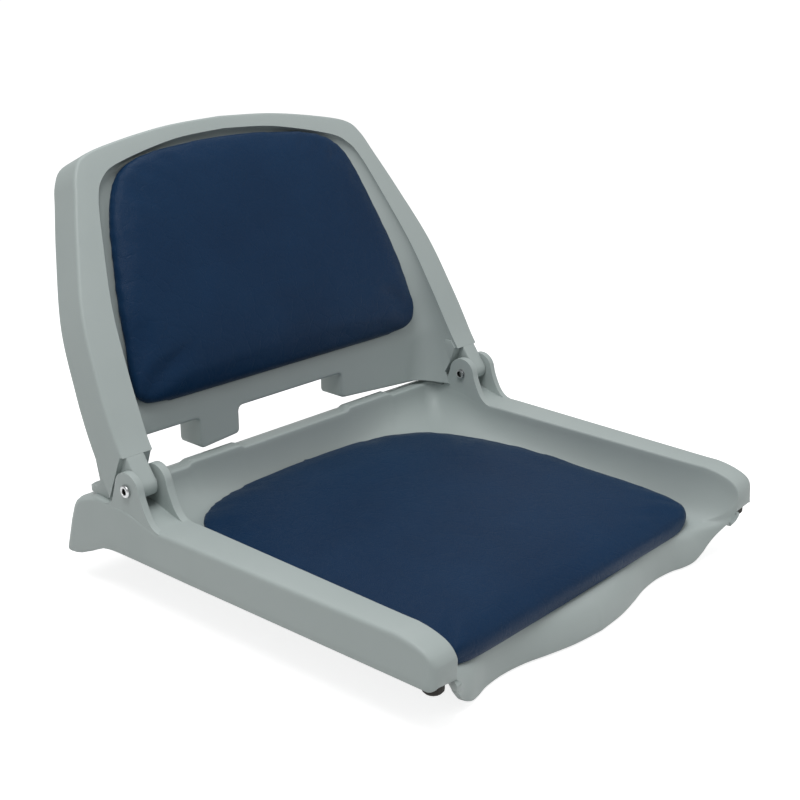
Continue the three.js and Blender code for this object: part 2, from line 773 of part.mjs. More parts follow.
// Back: the hinge pocket clears the ears, and everything in front of its slanted line goes
const pocketTop = [pinBack + pocketTopLength, pinHeight + pocketTopHeight];
const heelBottom = rimTop + gap;
const pocketBottom = [pinBack + heelFront, heelBottom];
const pocket = [
  pocketTop, pocketBottom, [pinBack + armLength, heelBottom], [pinBack + armLength, -armLength],
  [pinBack - armLength, -armLength], [pinBack - armLength, pocketTop[1] - gap],
];
const ordered = (from, to) => [Math.min(from, to), Math.max(from, to)];
const bothSides = (from, to, build) => [-1, 1].map((side) => build(...ordered(from * side, to * side)));
const pocketSide = earInner - wall / 2;
const pocketCuts = bothSides(pocketSide, outerHalf + cutOverrun, (x0, x1) => prism('x', pocket, x0, x1));

// Back: everything below the outline of the cross panel goes, as a table of the panel's corners
const lowAt = (x) => {
  const share = (Math.abs(x) - notchHalf) / (panelHalf - notchHalf);
  return THREE.MathUtils.lerp(panelLowStart, panelLowEnd, share);
};
const corner = (x, z, dx, dz) => [[x + dx, z], [x, z + dz]];
const panelEdge = [
  [-panelHalf, panelHigh],
  ...corner(-tabEnd, panelHigh, -tabCorner, -tabCorner),
  ...corner(-tabEnd, lowAt(tabEnd), 0, tabCorner).reverse(),
  [-tabEnd + tabCorner, lowAt(tabEnd)],
  [-notchHalf - tabCorner, lowAt(notchHalf)],
  [-notchHalf, lowAt(notchHalf) + tabCorner],
  [-notchHalf, panelHigh - tabCorner],
  [-notchHalf + tabCorner, panelHigh],
  [notchHalf - tabCorner, panelHigh],
  [notchHalf, panelHigh - tabCorner],
  [notchHalf, lowAt(notchHalf) + tabCorner],
  [notchHalf + tabCorner, lowAt(notchHalf)],
  [panelHalf, lowAt(panelHalf)],
].filter((point, i, all) => i === 0 || Math.hypot(point[0] - all[i - 1][0], point[1] - all[i - 1][1]) > gap);
const belowPanel = prism('y', [
  ...panelEdge, [panelHalf, -cutOverrun], [-panelHalf, -cutOverrun],
], pinBack - cutOverrun, pinBack + panelLength + panelDepth + cutOverrun);
const panelTop = pinHeight + panelTopUp / 2;
const panelFrontY = pinBack + panelLength;
const panelSolid = prism('y', [
  ...panelEdge, [panelHalf, panelTop], [-panelHalf, panelTop],
], panelFrontY, panelFrontY + panelDepth);
const raised = panelEdge.map(([x, z]) => [x, z + wall]);
const narrowed = (shift) => raised.map(([x, z]) => [x + shift, z]);
const panelHollow = [narrowed(-wall), narrowed(wall)].map((edge) => prism('y', [
  ...edge, [edge[edge.length - 1][0], panelTop + cutOverrun], [edge[0][0], panelTop + cutOverrun],
], panelFrontY + wall, panelFrontY + panelDepth + cutOverrun));
const endTrims = bothSides(panelHalf - wall * 1.5, outerHalf, (x0, x1) => {
  return boxOf(x0, x1, panelFrontY + panelDepth / 2, panelFrontY + panelDepth * 2, 0, panelTop + cutOverrun);
});
const panelBox = cutAll(panelSolid.subtract(panelHollow[0].intersect(panelHollow[1])), endTrims);

// Back: leg ends, with a tongue round the pin and a hollow heel that rests on the rim
const tongueFrom = earInner + earThick + tongueSide;
const tongueTo = outerHalf - earThick - tongueSide;
const legFace = (up) => {
  const point = onBack(0, up, 0);
  return [point.y, point.z];
};
const tongueOutline = [
  ...arc(pinBack, pinHeight, tongueRadius, 320, 146, 18),
  legFace(backHeight * 0.12),
  legFace(backHeight * 0.16),
  [pinBack + heelNeck, pinHeight + heelRise * 0.7],
  [pinBack + heelFront + wall, pinHeight - tongueRadius / 2],
];
const heelOutline = [
  pocketTop, pocketBottom, [pinBack + heelRear, heelBottom], [pinBack + heelRear, heelBottom + heelLip],
  [pinBack + heelNeck, heelBottom + heelLip * 4.4], [pinBack + heelBack, heelBottom + heelRise],
  [pinBack + pocketTopLength + wall * 1.5, heelBottom + heelRise],
];
const heelHollow = [
  [pinBack + heelFront - wall * 1.6, heelBottom + heelRise + wall],
  [pinBack + heelFront + wall, heelBottom + wall],
  [pinBack + heelRear + cutOverrun, heelBottom + wall],
  [pinBack + heelRear + cutOverrun, heelBottom + heelRise + wall],
];
const tongues = bothSides(tongueFrom, tongueTo, (x0, x1) => prism('x', tongueOutline, x0, x1));
const heels = bothSides(legInner, legOuter, (x0, x1) => {
  const hollow = prism('x', heelHollow, x0 + wall, x1 - wall);
  return prism('x', heelOutline, x0, x1).subtract(hollow);
});

// Screws of the back cushion stand square to the front plane
function backBar(radius, across, up, from, to, sides = 18) {
  const geometry = new THREE.CylinderGeometry(radius, radius, to - from, sides);
  geometry.rotateX(-quarterTurn + Math.PI);
  geometry.translate(0, 0, (from + to) / 2);
  const depthAxis = new THREE.Vector3(0, tiltCos, -tiltSin);
  const upAxis = new THREE.Vector3(0, tiltSin, tiltCos);
  const basis = new THREE.Matrix4().makeBasis(new THREE.Vector3(-1, 0, 0), upAxis, depthAxis);
  geometry.applyMatrix4(basis);
  geometry.translate(...onBack(across, up, 0).toArray());
  return toSolid(geometry);
}
const backScrews = [-1, 1].flatMap((side) => [
  [side * backScrewSide, backScrewLow],
  [side * backScrewSide, backScrewHigh],
]);
const backScrewBosses = backScrews.map(([x, up]) => {
  const behind = floorBehind(up) + wall;
  return backBar(screwBossRadius, x, up, behind - wall / 2, behind + screwBossDepth);
});
const backHoles = [
  ...backScrews.map(([x, up]) => backBar(screwRadius + gap, x, up, -cutOverrun, skirtDepth * 2, 12)),
  crossBar(pinRadius + gap, -outerHalf, outerHalf, pinBack, pinHeight),
];

// Back: two stiffening ribs up the hollow rear, trimmed to the skin's own back
const ribAcross = backCushionTopHalf * 0.32;
const backRibs = [-1, 1].map((side) => {
  const ups = [backCushionBottom, backCushionCentre, backCushionTop];
  const front = ups.map((up) => onBack(0, up, floorBehind(up) + wall / 2));
  const rear = ups.map((up) => onBack(0, up, Math.max(skirtDepth * 0.7, floorBehind(up) + wall * 2)));
  const outline = [...front, ...rear.reverse()].map((p) => [p.y, p.z]);
  const x = ribAcross * side;
  return prism('x', outline, x - ribWall / 2, x + ribWall / 2);
});
const backShell = cutAll(
  unionOf([
    cutAll(backFace, [...pocketCuts, belowPanel]), panelBox,
    ...tongues, ...heels, ...backScrewBosses, ...backRibs,
  ]),
  backHoles,
);

const boardLow = vinyl + gap * 4;
// Cushions: one set of rings for cover, foam and board, on either base surface
function cushionSolids({ half, centre, place, crown, screwHoles }) {
  const inset = (amount) => half.map((point) => {
    const away = point.clone().sub(centre);
    return centre.clone().addScaledVector(away, 1 - amount / away.length());
  });
  const share = (part) => half.map((point) => centre.clone().lerp(point, part));
  const ring = (line, height) => mirrored(line.map((p) => place(p, height)), true);
  const skin = [
    ring(inset(coverTurnIn), gap),
    ring(inset(coverInset + vinyl), gap),
    ring(inset(coverInset), gap + cushionEdge * 0.2),
    ring(inset(coverInset - gap), cushionEdge * 0.55),
    ring(inset(coverInset + vinyl), cushionEdge * 0.85),
    ring(inset(coverInset + cushionEdge * 0.5), cushionEdge * 1.1),
    ring(inset(coverInset + cushionEdge * 1.4), cushionEdge + (crown - cushionEdge) * 0.4),
    ring(share(0.66), cushionEdge + (crown - cushionEdge) * 0.78),
    ring(share(0.34), cushionEdge + (crown - cushionEdge) * 0.96),
  ];
  const cover = ringSheet(skin, true, vinyl);
  const boardHigh = boardLow + boardThick;
  const boardLine = inset(boardInset);
  const board = ringBody([ring(boardLine, boardLow), ring(boardLine, boardHigh)]);
  const under = vinyl + gap * 3;
  const beside = vinyl + gap * 7;
  const foamLow = boardHigh + gap;
  const foam = ringBody([
    ring(inset(boardInset), foamLow),
    ring(inset(coverInset + beside), foamLow + gap),
    ring(inset(coverInset + beside + vinyl), cushionEdge * 0.75),
    ring(inset(coverInset + cushionEdge * 0.5 + beside), cushionEdge * 1.1 - under),
    ring(inset(coverInset + cushionEdge * 1.4), cushionEdge + (crown - cushionEdge) * 0.4 - under),
    ring(share(0.66), cushionEdge + (crown - cushionEdge) * 0.78 - under),
    ring(share(0.34), cushionEdge + (crown - cushionEdge) * 0.96 - under),
  ]);
  return { cover, foam, board: cutAll(board, screwHoles) };
}
// Half an outline by equal turns about a centre, from below to above
function turnedHalf(outside, centreV, steps, longest) {
  const line = Array.from({ length: steps + 1 }, (_, i) => {
    const angle = -quarterTurn + (Math.PI * i) / steps;
    const length = reach(outside, angle, longest);
    return new THREE.Vector2(length * Math.cos(angle), centreV + length * Math.sin(angle));
  });
  line[0].x = 0;
  line[steps].x = 0;
  return line;
}
const cushionSteps = 24;
const seatScrewTop = boardLow + boardThick - wall / 4;
const seatCushion = cushionSolids({
  half: turnedHalf(seamOutside, seamCentre, cushionSteps, armLength),
  centre: new THREE.Vector2(0, seamCentre),
  place: (p, height) => new THREE.Vector3(p.x, p.y, seamHeight(p.y) + height),
  crown: seatCrown,
  screwHoles: seatScrews.map(([x, y]) => {
    return roundBar(screwRadius + gap, 0, seamHeight(y) + seatScrewTop + gap, x, y, 12);
  }),
});
const curveGap = gap / 2;
const backCushion = cushionSolids({
  half: turnedHalf(backOutside, backCushionCentre, cushionSteps, backHeight),
  centre: new THREE.Vector2(0, backCushionCentre),
  place: (p, height) => onBack(p.x, p.y, floorBehind(p.y) - height - curveGap),
  crown: backCrown,
  screwHoles: backScrews.map(([x, up]) => {
    const behind = floorBehind(up);
    return backBar(screwRadius + gap, x, up, behind - seatScrewTop - gap, behind + wall, 12);
  }),
});

// A pan-head screw, its head under the shell's boss, lathed about its own axis
function screwGeometry(shank) {
  const profile = [
    [0, -shank - screwHeadThick], [screwHeadRadius * 0.7, -shank - screwHeadThick],
    [screwHeadRadius, -shank - screwHeadThick * 0.6], [screwHeadRadius, -shank], [screwRadius, -shank],
    [screwRadius, 0], [0, 0],
  ];
  const geometry = new THREE.LatheGeometry(profile.map(([r, y]) => new THREE.Vector2(r, y)), 12);
  geometry.rotateX(quarterTurn);
  return geometry;
}

// Hollow turned parts: an [r, along] profile that closes on itself, turned about X
function turned(profile, sides = 20) {
  const closed = [...profile, profile[0]].map(([r, y]) => new THREE.Vector2(r, y));
  return new THREE.LatheGeometry(closed, sides);
}
function rivetGeometry() {
  const shank = clevisWidth + washerThick + gap * 3;
  return turned([
    [pinBore, -pinHeadThick], [pinHeadRadius - pinHeadThick / 2, -pinHeadThick], [pinHeadRadius, 0],
    [pinRadius, 0], [pinRadius, shank + pinTail], [pinBore, shank + pinTail],
  ]);
}
function washerGeometry() {
  return turned([
    [pinRadius + gap, 0], [washerRadius, 0], [washerRadius, washerThick], [pinRadius + gap, washerThick],
  ]);
}
function insertGeometry() {
  const geometry = turned([
    [insertBore, 0], [insertRadius, 0], [insertRadius, insertLength], [insertBore, insertLength],
  ], 16);
  geometry.rotateX(quarterTurn);
  return geometry;
}
function bumperGeometry() {
  const profile = [
    [0, -bumperHeight], [bumperRadius * 0.8, -bumperHeight], [bumperRadius, -bumperHeight * 0.75],
    [bumperRadius, 0], [bumperStemRadius, 0], [bumperStemRadius, bumperStemLength], [0, bumperStemLength],
  ];
  const geometry = new THREE.LatheGeometry(profile.map(([r, y]) => new THREE.Vector2(r, y)), 16);
  geometry.rotateX(quarterTurn);
  return geometry;
}

// Named meshes with their materials
const part = new THREE.Group();
const materials = {
  shell: new THREE.MeshStandardMaterial({ color: plastic, roughness: 0.55, metalness: 0 }),
  vinyl: new THREE.MeshStandardMaterial({ color: navy, roughness: 0.5, metalness: 0 }),
  foam: new THREE.MeshStandardMaterial({ color: 0xd8cfa8, roughness: 0.9, metalness: 0 }),
  board: new THREE.MeshStandardMaterial({ color: 0x1c1c1e, roughness: 0.8, metalness: 0 }),
  steel: new THREE.MeshStandardMaterial({ color: 0xb9bdc2, roughness: 0.35, metalness: 1 }),
  brass: new THREE.MeshStandardMaterial({ color: 0xb08d3c, roughness: 0.4, metalness: 1 }),
  rubber: new THREE.MeshStandardMaterial({ color: 0x2b2824, roughness: 0.85, metalness: 0 }),
};
function addMesh(name, geometry, material) {
  const mesh = new THREE.Mesh(geometry, material);
  mesh.name = name;
  part.add(mesh);
  return mesh;
}
addMesh('seat_shell', toGeometry(seatShell), materials.shell);
addMesh('back_shell', toGeometry(backShell), materials.shell);
for (const [name, cushion] of [['seat', seatCushion], ['back', backCushion]]) {
  addMesh(`${name}_cushion_cover`, toGeometry(cushion.cover), materials.vinyl);
  addMesh(`${name}_cushion_foam`, toGeometry(cushion.foam), materials.foam);
  addMesh(`${name}_cushion_board`, toGeometry(cushion.board), materials.board);
}
const screwShank = screwBossDepth + wall + seatScrewTop;
seatScrews.forEach(([x, y], i) => {
  const mesh = addMesh(`seat_cushion_screw_${i + 1}`, screwGeometry(screwShank + gap), materials.steel);
  mesh.position.set(x, y, seamHeight(y) + seatScrewTop);
});
backScrews.forEach(([x, up], i) => {
  const mesh = addMesh(`back_cushion_screw_${i + 1}`, screwGeometry(screwShank + gap), materials.steel);
  mesh.position.copy(onBack(x, up, floorBehind(up) - seatScrewTop));
  const headWay = new THREE.Vector3(0, tiltCos, -tiltSin);
  mesh.quaternion.setFromUnitVectors(new THREE.Vector3(0, 0, -1), headWay);
});
patternCorners.forEach(([x, y], i) => {
  const mesh = addMesh(`mounting_insert_${i + 1}`, insertGeometry(), materials.brass);
  mesh.position.set(x, y, gap);
});
for (const [name, side] of [['left', 1], ['right', -1]]) {
  const rivet = addMesh(`hinge_rivet_${name}`, rivetGeometry(), materials.steel);
  rivet.rotation.z = quarterTurn * side;
  rivet.position.set((outerHalf + gap) * side, pinBack, pinHeight);
  const washer = addMesh(`hinge_rivet_washer_${name}`, washerGeometry(), materials.steel);
  washer.rotation.z = quarterTurn * side;
  washer.position.set((earInner - gap) * side, pinBack, pinHeight);
  const bumper = addMesh(`front_bumper_${name}`, bumperGeometry(), materials.rubber);
  bumper.position.set(bumperX * side, bumperY, armBottom - gap);
}

export default part;
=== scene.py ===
"""Looks of the folding boat seat: moulded shells, simulated cushions, materials, light and camera."""
import math

import bpy
import bmesh
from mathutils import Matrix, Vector


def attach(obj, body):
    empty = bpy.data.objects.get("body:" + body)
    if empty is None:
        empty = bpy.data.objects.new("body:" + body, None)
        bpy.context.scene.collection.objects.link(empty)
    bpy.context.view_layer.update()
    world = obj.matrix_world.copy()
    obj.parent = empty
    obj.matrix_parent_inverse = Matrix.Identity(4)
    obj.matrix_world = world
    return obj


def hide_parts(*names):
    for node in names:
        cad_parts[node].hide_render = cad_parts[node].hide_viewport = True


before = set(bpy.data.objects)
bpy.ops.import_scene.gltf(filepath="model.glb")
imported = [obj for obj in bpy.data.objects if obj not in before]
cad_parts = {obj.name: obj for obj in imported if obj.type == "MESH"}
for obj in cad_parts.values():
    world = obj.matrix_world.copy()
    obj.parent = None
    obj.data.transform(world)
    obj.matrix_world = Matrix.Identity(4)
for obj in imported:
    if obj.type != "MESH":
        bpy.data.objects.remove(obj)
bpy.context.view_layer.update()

MM = 0.001

# Sizes of the seat, in millimetres, as in the part's source
HINGE_HALF = 254.1
FRONT_HALF = 241.4
INNER_HALF = 213.8
PIN_Y = 150.0
PIN_Z = 116.7
ARM_FRONT = -207.0
REAR_END = 258.0
ARM_TOP = 88.0
ARM_BOTTOM = 51.0
NOSE_TOP = 74.0
RIM_TOP = 97.0
FOOT_Z = 27.0
WALL = 4.0
EAR_THICK = 8.1
EAR_INNER = 213.8
TILT = math.radians(27.8)
PIN_DEPTH = 4.4
BACK_HEIGHT = 334.5
SKIRT = 36.0
PANEL_Y = PIN_Y + 53.0

LONGEST_RAY = 400.0
HALVINGS = 36
SMOOTH_DEGREES = 40


# Small helpers

def deselect():
    """Leaves nothing selected."""
    for thing in list(bpy.context.selected_objects):
        thing.select_set(False)


def only(piece):
    """Makes one piece selected and active."""
    deselect()
    piece.select_set(True)
    bpy.context.view_layer.objects.active = piece


def apply_modifier(piece, kind, **settings):
    """Adds one modifier with its settings and applies it."""
    only(piece)
    made = piece.modifiers.new(kind.title(), kind)
    for key, value in settings.items():
        setattr(made, key, value)
    bpy.ops.object.modifier_apply(modifier=made.name)


def bevel(piece, width, segments, degrees):
    """Rounds the edges that turn by more than an angle."""
    apply_modifier(
        piece, "BEVEL", width=width * MM, segments=segments,
        limit_method="ANGLE", angle_limit=math.radians(degrees),
    )


def smooth(piece, degrees=SMOOTH_DEGREES):
    """Shades a piece smooth up to an angle."""
    only(piece)
    bpy.ops.object.shade_smooth_by_angle(angle=math.radians(degrees))


def settle(piece):
    """Puts a piece's place into its mesh."""
    only(piece)
    bpy.ops.object.transform_apply(location=True, rotation=True, scale=True)


def outward(piece):
    """Turns all faces outwards after merging doubles."""
    only(piece)
    bpy.ops.object.mode_set(mode="EDIT")
    bpy.ops.mesh.select_all(action="SELECT")
    bpy.ops.mesh.remove_doubles(threshold=0.00002)
    bpy.ops.mesh.normals_make_consistent(inside=False)
    bpy.ops.object.mode_set(mode="OBJECT")


def piece_from(name, points, faces):
    """A mesh piece from points in millimetres."""
    mesh = bpy.data.meshes.new(name)
    mesh.from_pydata([(x * MM, y * MM, z * MM) for x, y, z in points], [], faces)
    mesh.update()
    piece = bpy.data.objects.new(name, mesh)
    bpy.context.scene.collection.objects.link(piece)
    return piece


def nearest_face(piece, place):
    """The face whose middle lies nearest to a place in millimetres."""
    target = Vector(place) * MM
    return min(piece.data.polygons, key=lambda f: (f.center - target).length)


def ring_faces(rings, count):
    """Faces between closed rings of as many points each."""
    faces = []
    for r in range(rings - 1):
        for i in range(count):
            j = (i + 1) % count
            a, b = r * count, (r + 1) * count
            faces.append((a + i, a + j, b + j, b + i))
    return faces


def cap_faces(start, count, middle):
    """Faces from one ring to a middle point."""
    return [(start + i, start + (i + 1) % count, middle) for i in range(count)]


def lerp(a, b, share):
    """The value a share of the way from one to another."""
    return a + (b - a) * share


def spline(points, steps=12):
    """A smooth line through a few points, by the usual four-point rule."""
    line = []
    last = len(points) - 1
    for i in range(last):
        p = [points[max(i - 1, 0)], points[i], points[i + 1], points[min(i + 2, last)]]
        for step in range(steps):
            t = step / steps
            line.append(tuple(
                0.5 * (2 * p[1][k] + (p[2][k] - p[0][k]) * t
                       + (2 * p[0][k] - 5 * p[1][k] + 4 * p[2][k] - p[3][k]) * t * t
                       + (3 * p[1][k] - p[0][k] - 3 * p[2][k] + p[3][k]) * t ** 3)
                for k in range(len(points[0]))
            ))
    line.append(tuple(points[-1]))
    return line


def reader(points, steps=12):
    """Reads a smooth line as its second value at a first value."""
    line = spline(points, steps)

    def read(a):
        if a <= line[0][0]:
            return line[0][1]
        for before, after in zip(line, line[1:]):
            if after[0] >= a:
                return lerp(before[1], after[1], (a - before[0]) / max(after[0] - before[0], 1e-9))
        return line[-1][1]

    return read


def resample(line, count):
    """Even points along a line of points."""
    lengths = [0.0]
    for before, after in zip(line, line[1:]):
        lengths.append(lengths[-1] + math.dist(before, after))
    points = []
    j = 0
    for i in range(count + 1):
        want = lengths[-1] * i / count
        while j < len(line) - 2 and lengths[j + 1] < want:
            j += 1
        share = (want - lengths[j]) / max(lengths[j + 1] - lengths[j], 1e-9)
        points.append(tuple(lerp(a, b, min(share, 1)) for a, b in zip(line[j], line[j + 1])))
    return points


def smoothstep(a, b, x):
    """Rises softly from 0 to 1 between two values."""
    t = min(max((x - a) / (b - a), 0), 1)
    return t * t * (3 - 2 * t)


def reach(outside, angle):
    """Distance along a ray to where an outline is left."""
    near, far = 0.0, LONGEST_RAY
    for _ in range(HALVINGS):
        middle = (near + far) / 2
        if outside(middle * math.cos(angle), middle * math.sin(angle)):
            far = middle
        else:
            near = middle
    return near


# Base moulding

NOSE_ROUND = 6.0
NOSE_TOP_SHARE = 0.7
NOSE_BOTTOM_SHARE = 0.5
EDGE_DROP = 4.0

arm_top = reader([
    (ARM_FRONT, NOSE_TOP), (ARM_FRONT + 12, NOSE_TOP + 8.7), (ARM_FRONT + 36, ARM_TOP),
    (ARM_FRONT + 72, ARM_TOP), (82, ARM_TOP), (116, ARM_TOP), (PIN_Y, RIM_TOP - 1), (167, RIM_TOP),
    (REAR_END, RIM_TOP),
])
arm_bottom = reader([
    (ARM_FRONT, ARM_BOTTOM), (49, ARM_BOTTOM), (172, 50.6), (207, 40), (232, 30), (REAR_END, FOOT_Z),
])

# The seat cushion's seam, as seen from above and from the side
SEAM_CENTRE = -45.0
SEAM_HALF = 196.0
SEAM_NARROWING = 3.0
SEAM_FRONT_REACH = 127.0
SEAM_REAR_REACH = 231.0
SEAM_FRONT_POWER = 12
SEAM_REAR_POWER = 3.2
SEAM_FRONT_Y = SEAM_CENTRE - SEAM_FRONT_REACH
SEAM_FRONT_Z = 36.0
SEAM_RISE = 18.0
SEAM_BEND = 0.5

# The two pads on the rear rim, from the middle outwards
PAD_RISE = 3.4
PAD_START = 74.0
PAD_END = 147.0
PAD_RAMP = 5.0


def arm_outer(y):
    """Half the width over the arms, which narrow to the front."""
    return lerp(FRONT_HALF, HINGE_HALF, min(1, (y - ARM_FRONT) / (PIN_Y - ARM_FRONT)))


def seam_outside(x, fore):
    """Whether a point lies outside the seat cushion's seam."""
    front = fore < 0
    reach_y = SEAM_FRONT_REACH if front else SEAM_REAR_REACH
    power = SEAM_FRONT_POWER if front else SEAM_REAR_POWER
    half = SEAM_HALF - (SEAM_NARROWING if front else 0) * min(1, abs(fore) / reach_y) ** 1.5
    return abs(x / half) ** power + abs(fore / reach_y) ** power > 1


def seam_height(y):
    """Height of the seam, which climbs to the rear ever more slowly."""
    share = min(max((y - SEAM_FRONT_Y) / (SEAM_FRONT_REACH + SEAM_REAR_REACH), 0), 1)
    return SEAM_FRONT_Z + SEAM_RISE * share * (1 + SEAM_BEND) / (share + SEAM_BEND)


def rim_pad(x):
    """Rise of the two pads on the rear rim."""
    across = abs(x)
    inner = smoothstep(PAD_START, PAD_START + PAD_RAMP, across)
    return PAD_RISE * inner * (1 - smoothstep(PAD_END - PAD_RAMP, PAD_END, across))


# Lines from the pan's edge over the arm or rim and down its outside, as place across the arm, height,
# place of the rear wall and its corner radius. Inner lines are measured outwards from the pan, the others
# inwards from the arm's outer side. Heights are drops below the top, or shares of the side
INNER_LINES = [
    (0.0, 2.4, 45.0, 14.0), (0.2, 1.5, 45.2, 14.0), (0.7, 0.7, 45.7, 13.8), (1.5, 0.2, 46.5, 13.5),
    (2.4, 0.0, 47.4, 13.3),
]
OUTER_LINES = [
    (14.0, 0.0, 51.0, 13.0), (4.0, 0.0, 57.0, 12.0), (2.4, 0.35, 58.8, 13.0), (1.1, 1.2, 60.6, 14.5),
    (0.3, 2.4, 62.6, 16.0), (0.0, EDGE_DROP, 65.4, 16.5),
]
SIDE_LINES = [
    (0.0, 0.065, 77.0, 14.5), (-0.1, 0.12, 84.8, 13.5), (-0.2, 0.18, 89.6, 13.0), (-0.4, 0.26, 93.0, 13.0),
    (-0.9, 0.5, 98.8, 13.0), (-1.4, 0.75, 103.4, 13.0), (-1.9, 0.955, 107.2, 13.0),
    (-1.6, 0.988, 107.4, 13.0), (-0.9, 1.0, 107.0, 13.0),
]
SIDE_STATIONS = 84
SIDE_CROWDING = 1.7
CORNER_STATIONS = 10
REAR_STATIONS = 56


def nose_round(y):
    """How far the nose's edges draw in over its first few millimetres."""
    share = min(1, (y - ARM_FRONT) / NOSE_ROUND)
    return NOSE_ROUND * (1 - math.sqrt(1 - (1 - share) ** 2))


def channel_line(kind, place, low, rear, radius):
    """Half of one line round the arms and the rear wall, from the nose to the centre."""
    rear_y = PIN_Y + rear
    side_end = rear_y - radius

    def height(y, pad=0.0):
        top = arm_top(y)
        if kind == "side":
            bottom = arm_bottom(y) + nose_round(y) * NOSE_BOTTOM_SHARE
            return lerp(top - EDGE_DROP - nose_round(y) * NOSE_TOP_SHARE, bottom, low)
        return top + pad - low - nose_round(y) * NOSE_TOP_SHARE

    def across(y):
        if kind == "inner":
            return INNER_HALF + place
        return arm_outer(y) - place - (nose_round(y) if place <= EDGE_DROP else 0)

    line = []
    for i in range(SIDE_STATIONS):
        y = lerp(ARM_FRONT, side_end, (i / SIDE_STATIONS) ** SIDE_CROWDING)
        line.append((across(y), y, height(y)))
    corner_x = across(side_end) - radius
    for i in range(CORNER_STATIONS + 1):
        angle = math.pi / 2 * i / CORNER_STATIONS
        y = side_end + radius * math.sin(angle)
        line.append((corner_x + radius * math.cos(angle), y, height(y)))
    padded = kind != "side" and low < EDGE_DROP
    for i in range(1, REAR_STATIONS + 1):
        x = corner_x * (1 - i / REAR_STATIONS)
        line.append((x, rear_y, height(rear_y, rim_pad(x) if padded else 0.0)))
    return line


# The front lip's edge, from the middle to the right-hand nose
LIP_START = (INNER_HALF, -206.2, 51)
LIP = spline([
    (0, -196, 2.5), (35, -193, 2.5), (65, -187, 2.5), (92, -180.5, 2.5), (118, -177.8, 2.5),
    (142, -179.3, 2.4), (158, -183.5, 2.6), (171, -187.3, 5), (183, -189, 11), (190.5, -191, 19),
    (197, -194, 26.5), (203, -197.8, 33), (208.5, -201.8, 39.5), (212, -204.6, 45), LIP_START,
], 10)
LIP_STATIONS = 96
NOSE_STATIONS = 4
LEAST_TURN = 0.004
PAN_RINGS = 14
PAN_SHARES = (0.93, 0.8, 0.6, 0.4, 0.2)


def seam_under(edge):
    """The seam's point on the ray through each point of an edge.

    Each ray turns on from the one before, so the seam never folds back.
    """
    seam, angle = [], -math.pi / 2 - LEAST_TURN
    for x, y, z in edge:
        angle = max(math.atan2(y - SEAM_CENTRE, x), angle + LEAST_TURN)
        length = reach(seam_outside, angle)
        seam_y = SEAM_CENTRE + length * math.sin(angle)
        seam.append((length * math.cos(angle), seam_y, seam_height(seam_y)))
    seam[0] = (0.0, *seam[0][1:])
    seam[-1] = (0.0, *seam[-1][1:])
    return seam


def pan_rings(edge):
    """Half rings from the edge down a quarter-ellipse step to the seam, and on to the pan's middle."""
    seam = seam_under(edge)
    rings = []
    for i in range(PAN_RINGS + 1):
        turn = math.pi / 2 * (1 - i / PAN_RINGS)
        out, up = math.sin(turn), 1 - math.cos(turn)
        rings.append([
            (lerp(s[0], e[0], out), lerp(s[1], e[1], out), lerp(s[2], e[2], up)) for s, e in zip(seam, edge)
        ])
    for share in PAN_SHARES:
        ring = []
        for s in seam:
            x, y = s[0] * share, SEAM_CENTRE + (s[1] - SEAM_CENTRE) * share
            ring.append((x, y, seam_height(y)))
        rings.append(ring)
    return rings


def seat_moulding():
    """Pan, arms and rear wall as one skin."""
    kinds = (("inner", INNER_LINES), ("outer", OUTER_LINES), ("side", SIDE_LINES))
    lines = [channel_line(kind, *row) for kind, rows in kinds for row in rows]
    edge = resample(LIP, LIP_STATIONS)
    for i in range(1, NOSE_STATIONS):
        share = i / NOSE_STATIONS
        edge.append(tuple(lerp(a, b, share) for a, b in zip(LIP_START, lines[0][0])))
    start = len(edge)
    edge += lines[0]
    rings = [half + [(-x, y, z) for x, y, z in reversed(half[1:-1])] for half in pan_rings(edge)]
    count = len(rings[0])
    points = [point for ring in rings for point in ring]
    faces = ring_faces(len(rings), count)
    faces += cap_faces((len(rings) - 1) * count, count, len(points))
    points.append((0, SEAM_CENTRE, seam_height(SEAM_CENTRE)))

    # Arms and rear wall leave from the edge of the pan, from one nose round to the other
    span = count - 2 * start
    base = len(points)
    for line in lines[1:]:
        points += line + [(-x, y, z) for x, y, z in reversed(line[:-1])]

    def at(level, i):
        return start + i if level == 0 else base + (level - 1) * (span + 1) + i

    for level in range(len(lines) - 1):
        for i in range(span):
            faces.append((at(level, i), at(level + 1, i), at(level + 1, i + 1), at(level, i + 1)))

    # Front face of each arm
    for station, step in ((0, -1), (span, 1)):
        corner = [at(level, station) for level in range(len(lines))]
        inner = [(start + station + step * k) % count for k in range(1, NOSE_STATIONS + 1)]
        ring = corner[::-1] + inner
        faces.append(tuple(ring if step < 0 else ring[::-1]))
    skin = piece_from("seat_moulding", points, faces)
    outward(skin)
    if nearest_face(skin, (0, SEAM_CENTRE, seam_height(SEAM_CENTRE))).normal.z < 0:
        skin.data.flip_normals()
    apply_modifier(skin, "SOLIDIFY", thickness=WALL * MM, offset=-1)
    bevel(skin, 0.9, 2, 60)
    smooth(skin)
    return skin


seat_skin = seat_moulding()


# Hinge ears

def arc(centre, radius, start, end, steps):
    """Points on an arc, angles in degrees."""
    turns = [math.radians(lerp(start, end, i / steps)) for i in range(steps + 1)]
    return [(centre[0] + radius * math.cos(t), centre[1] + radius * math.sin(t)) for t in turns]


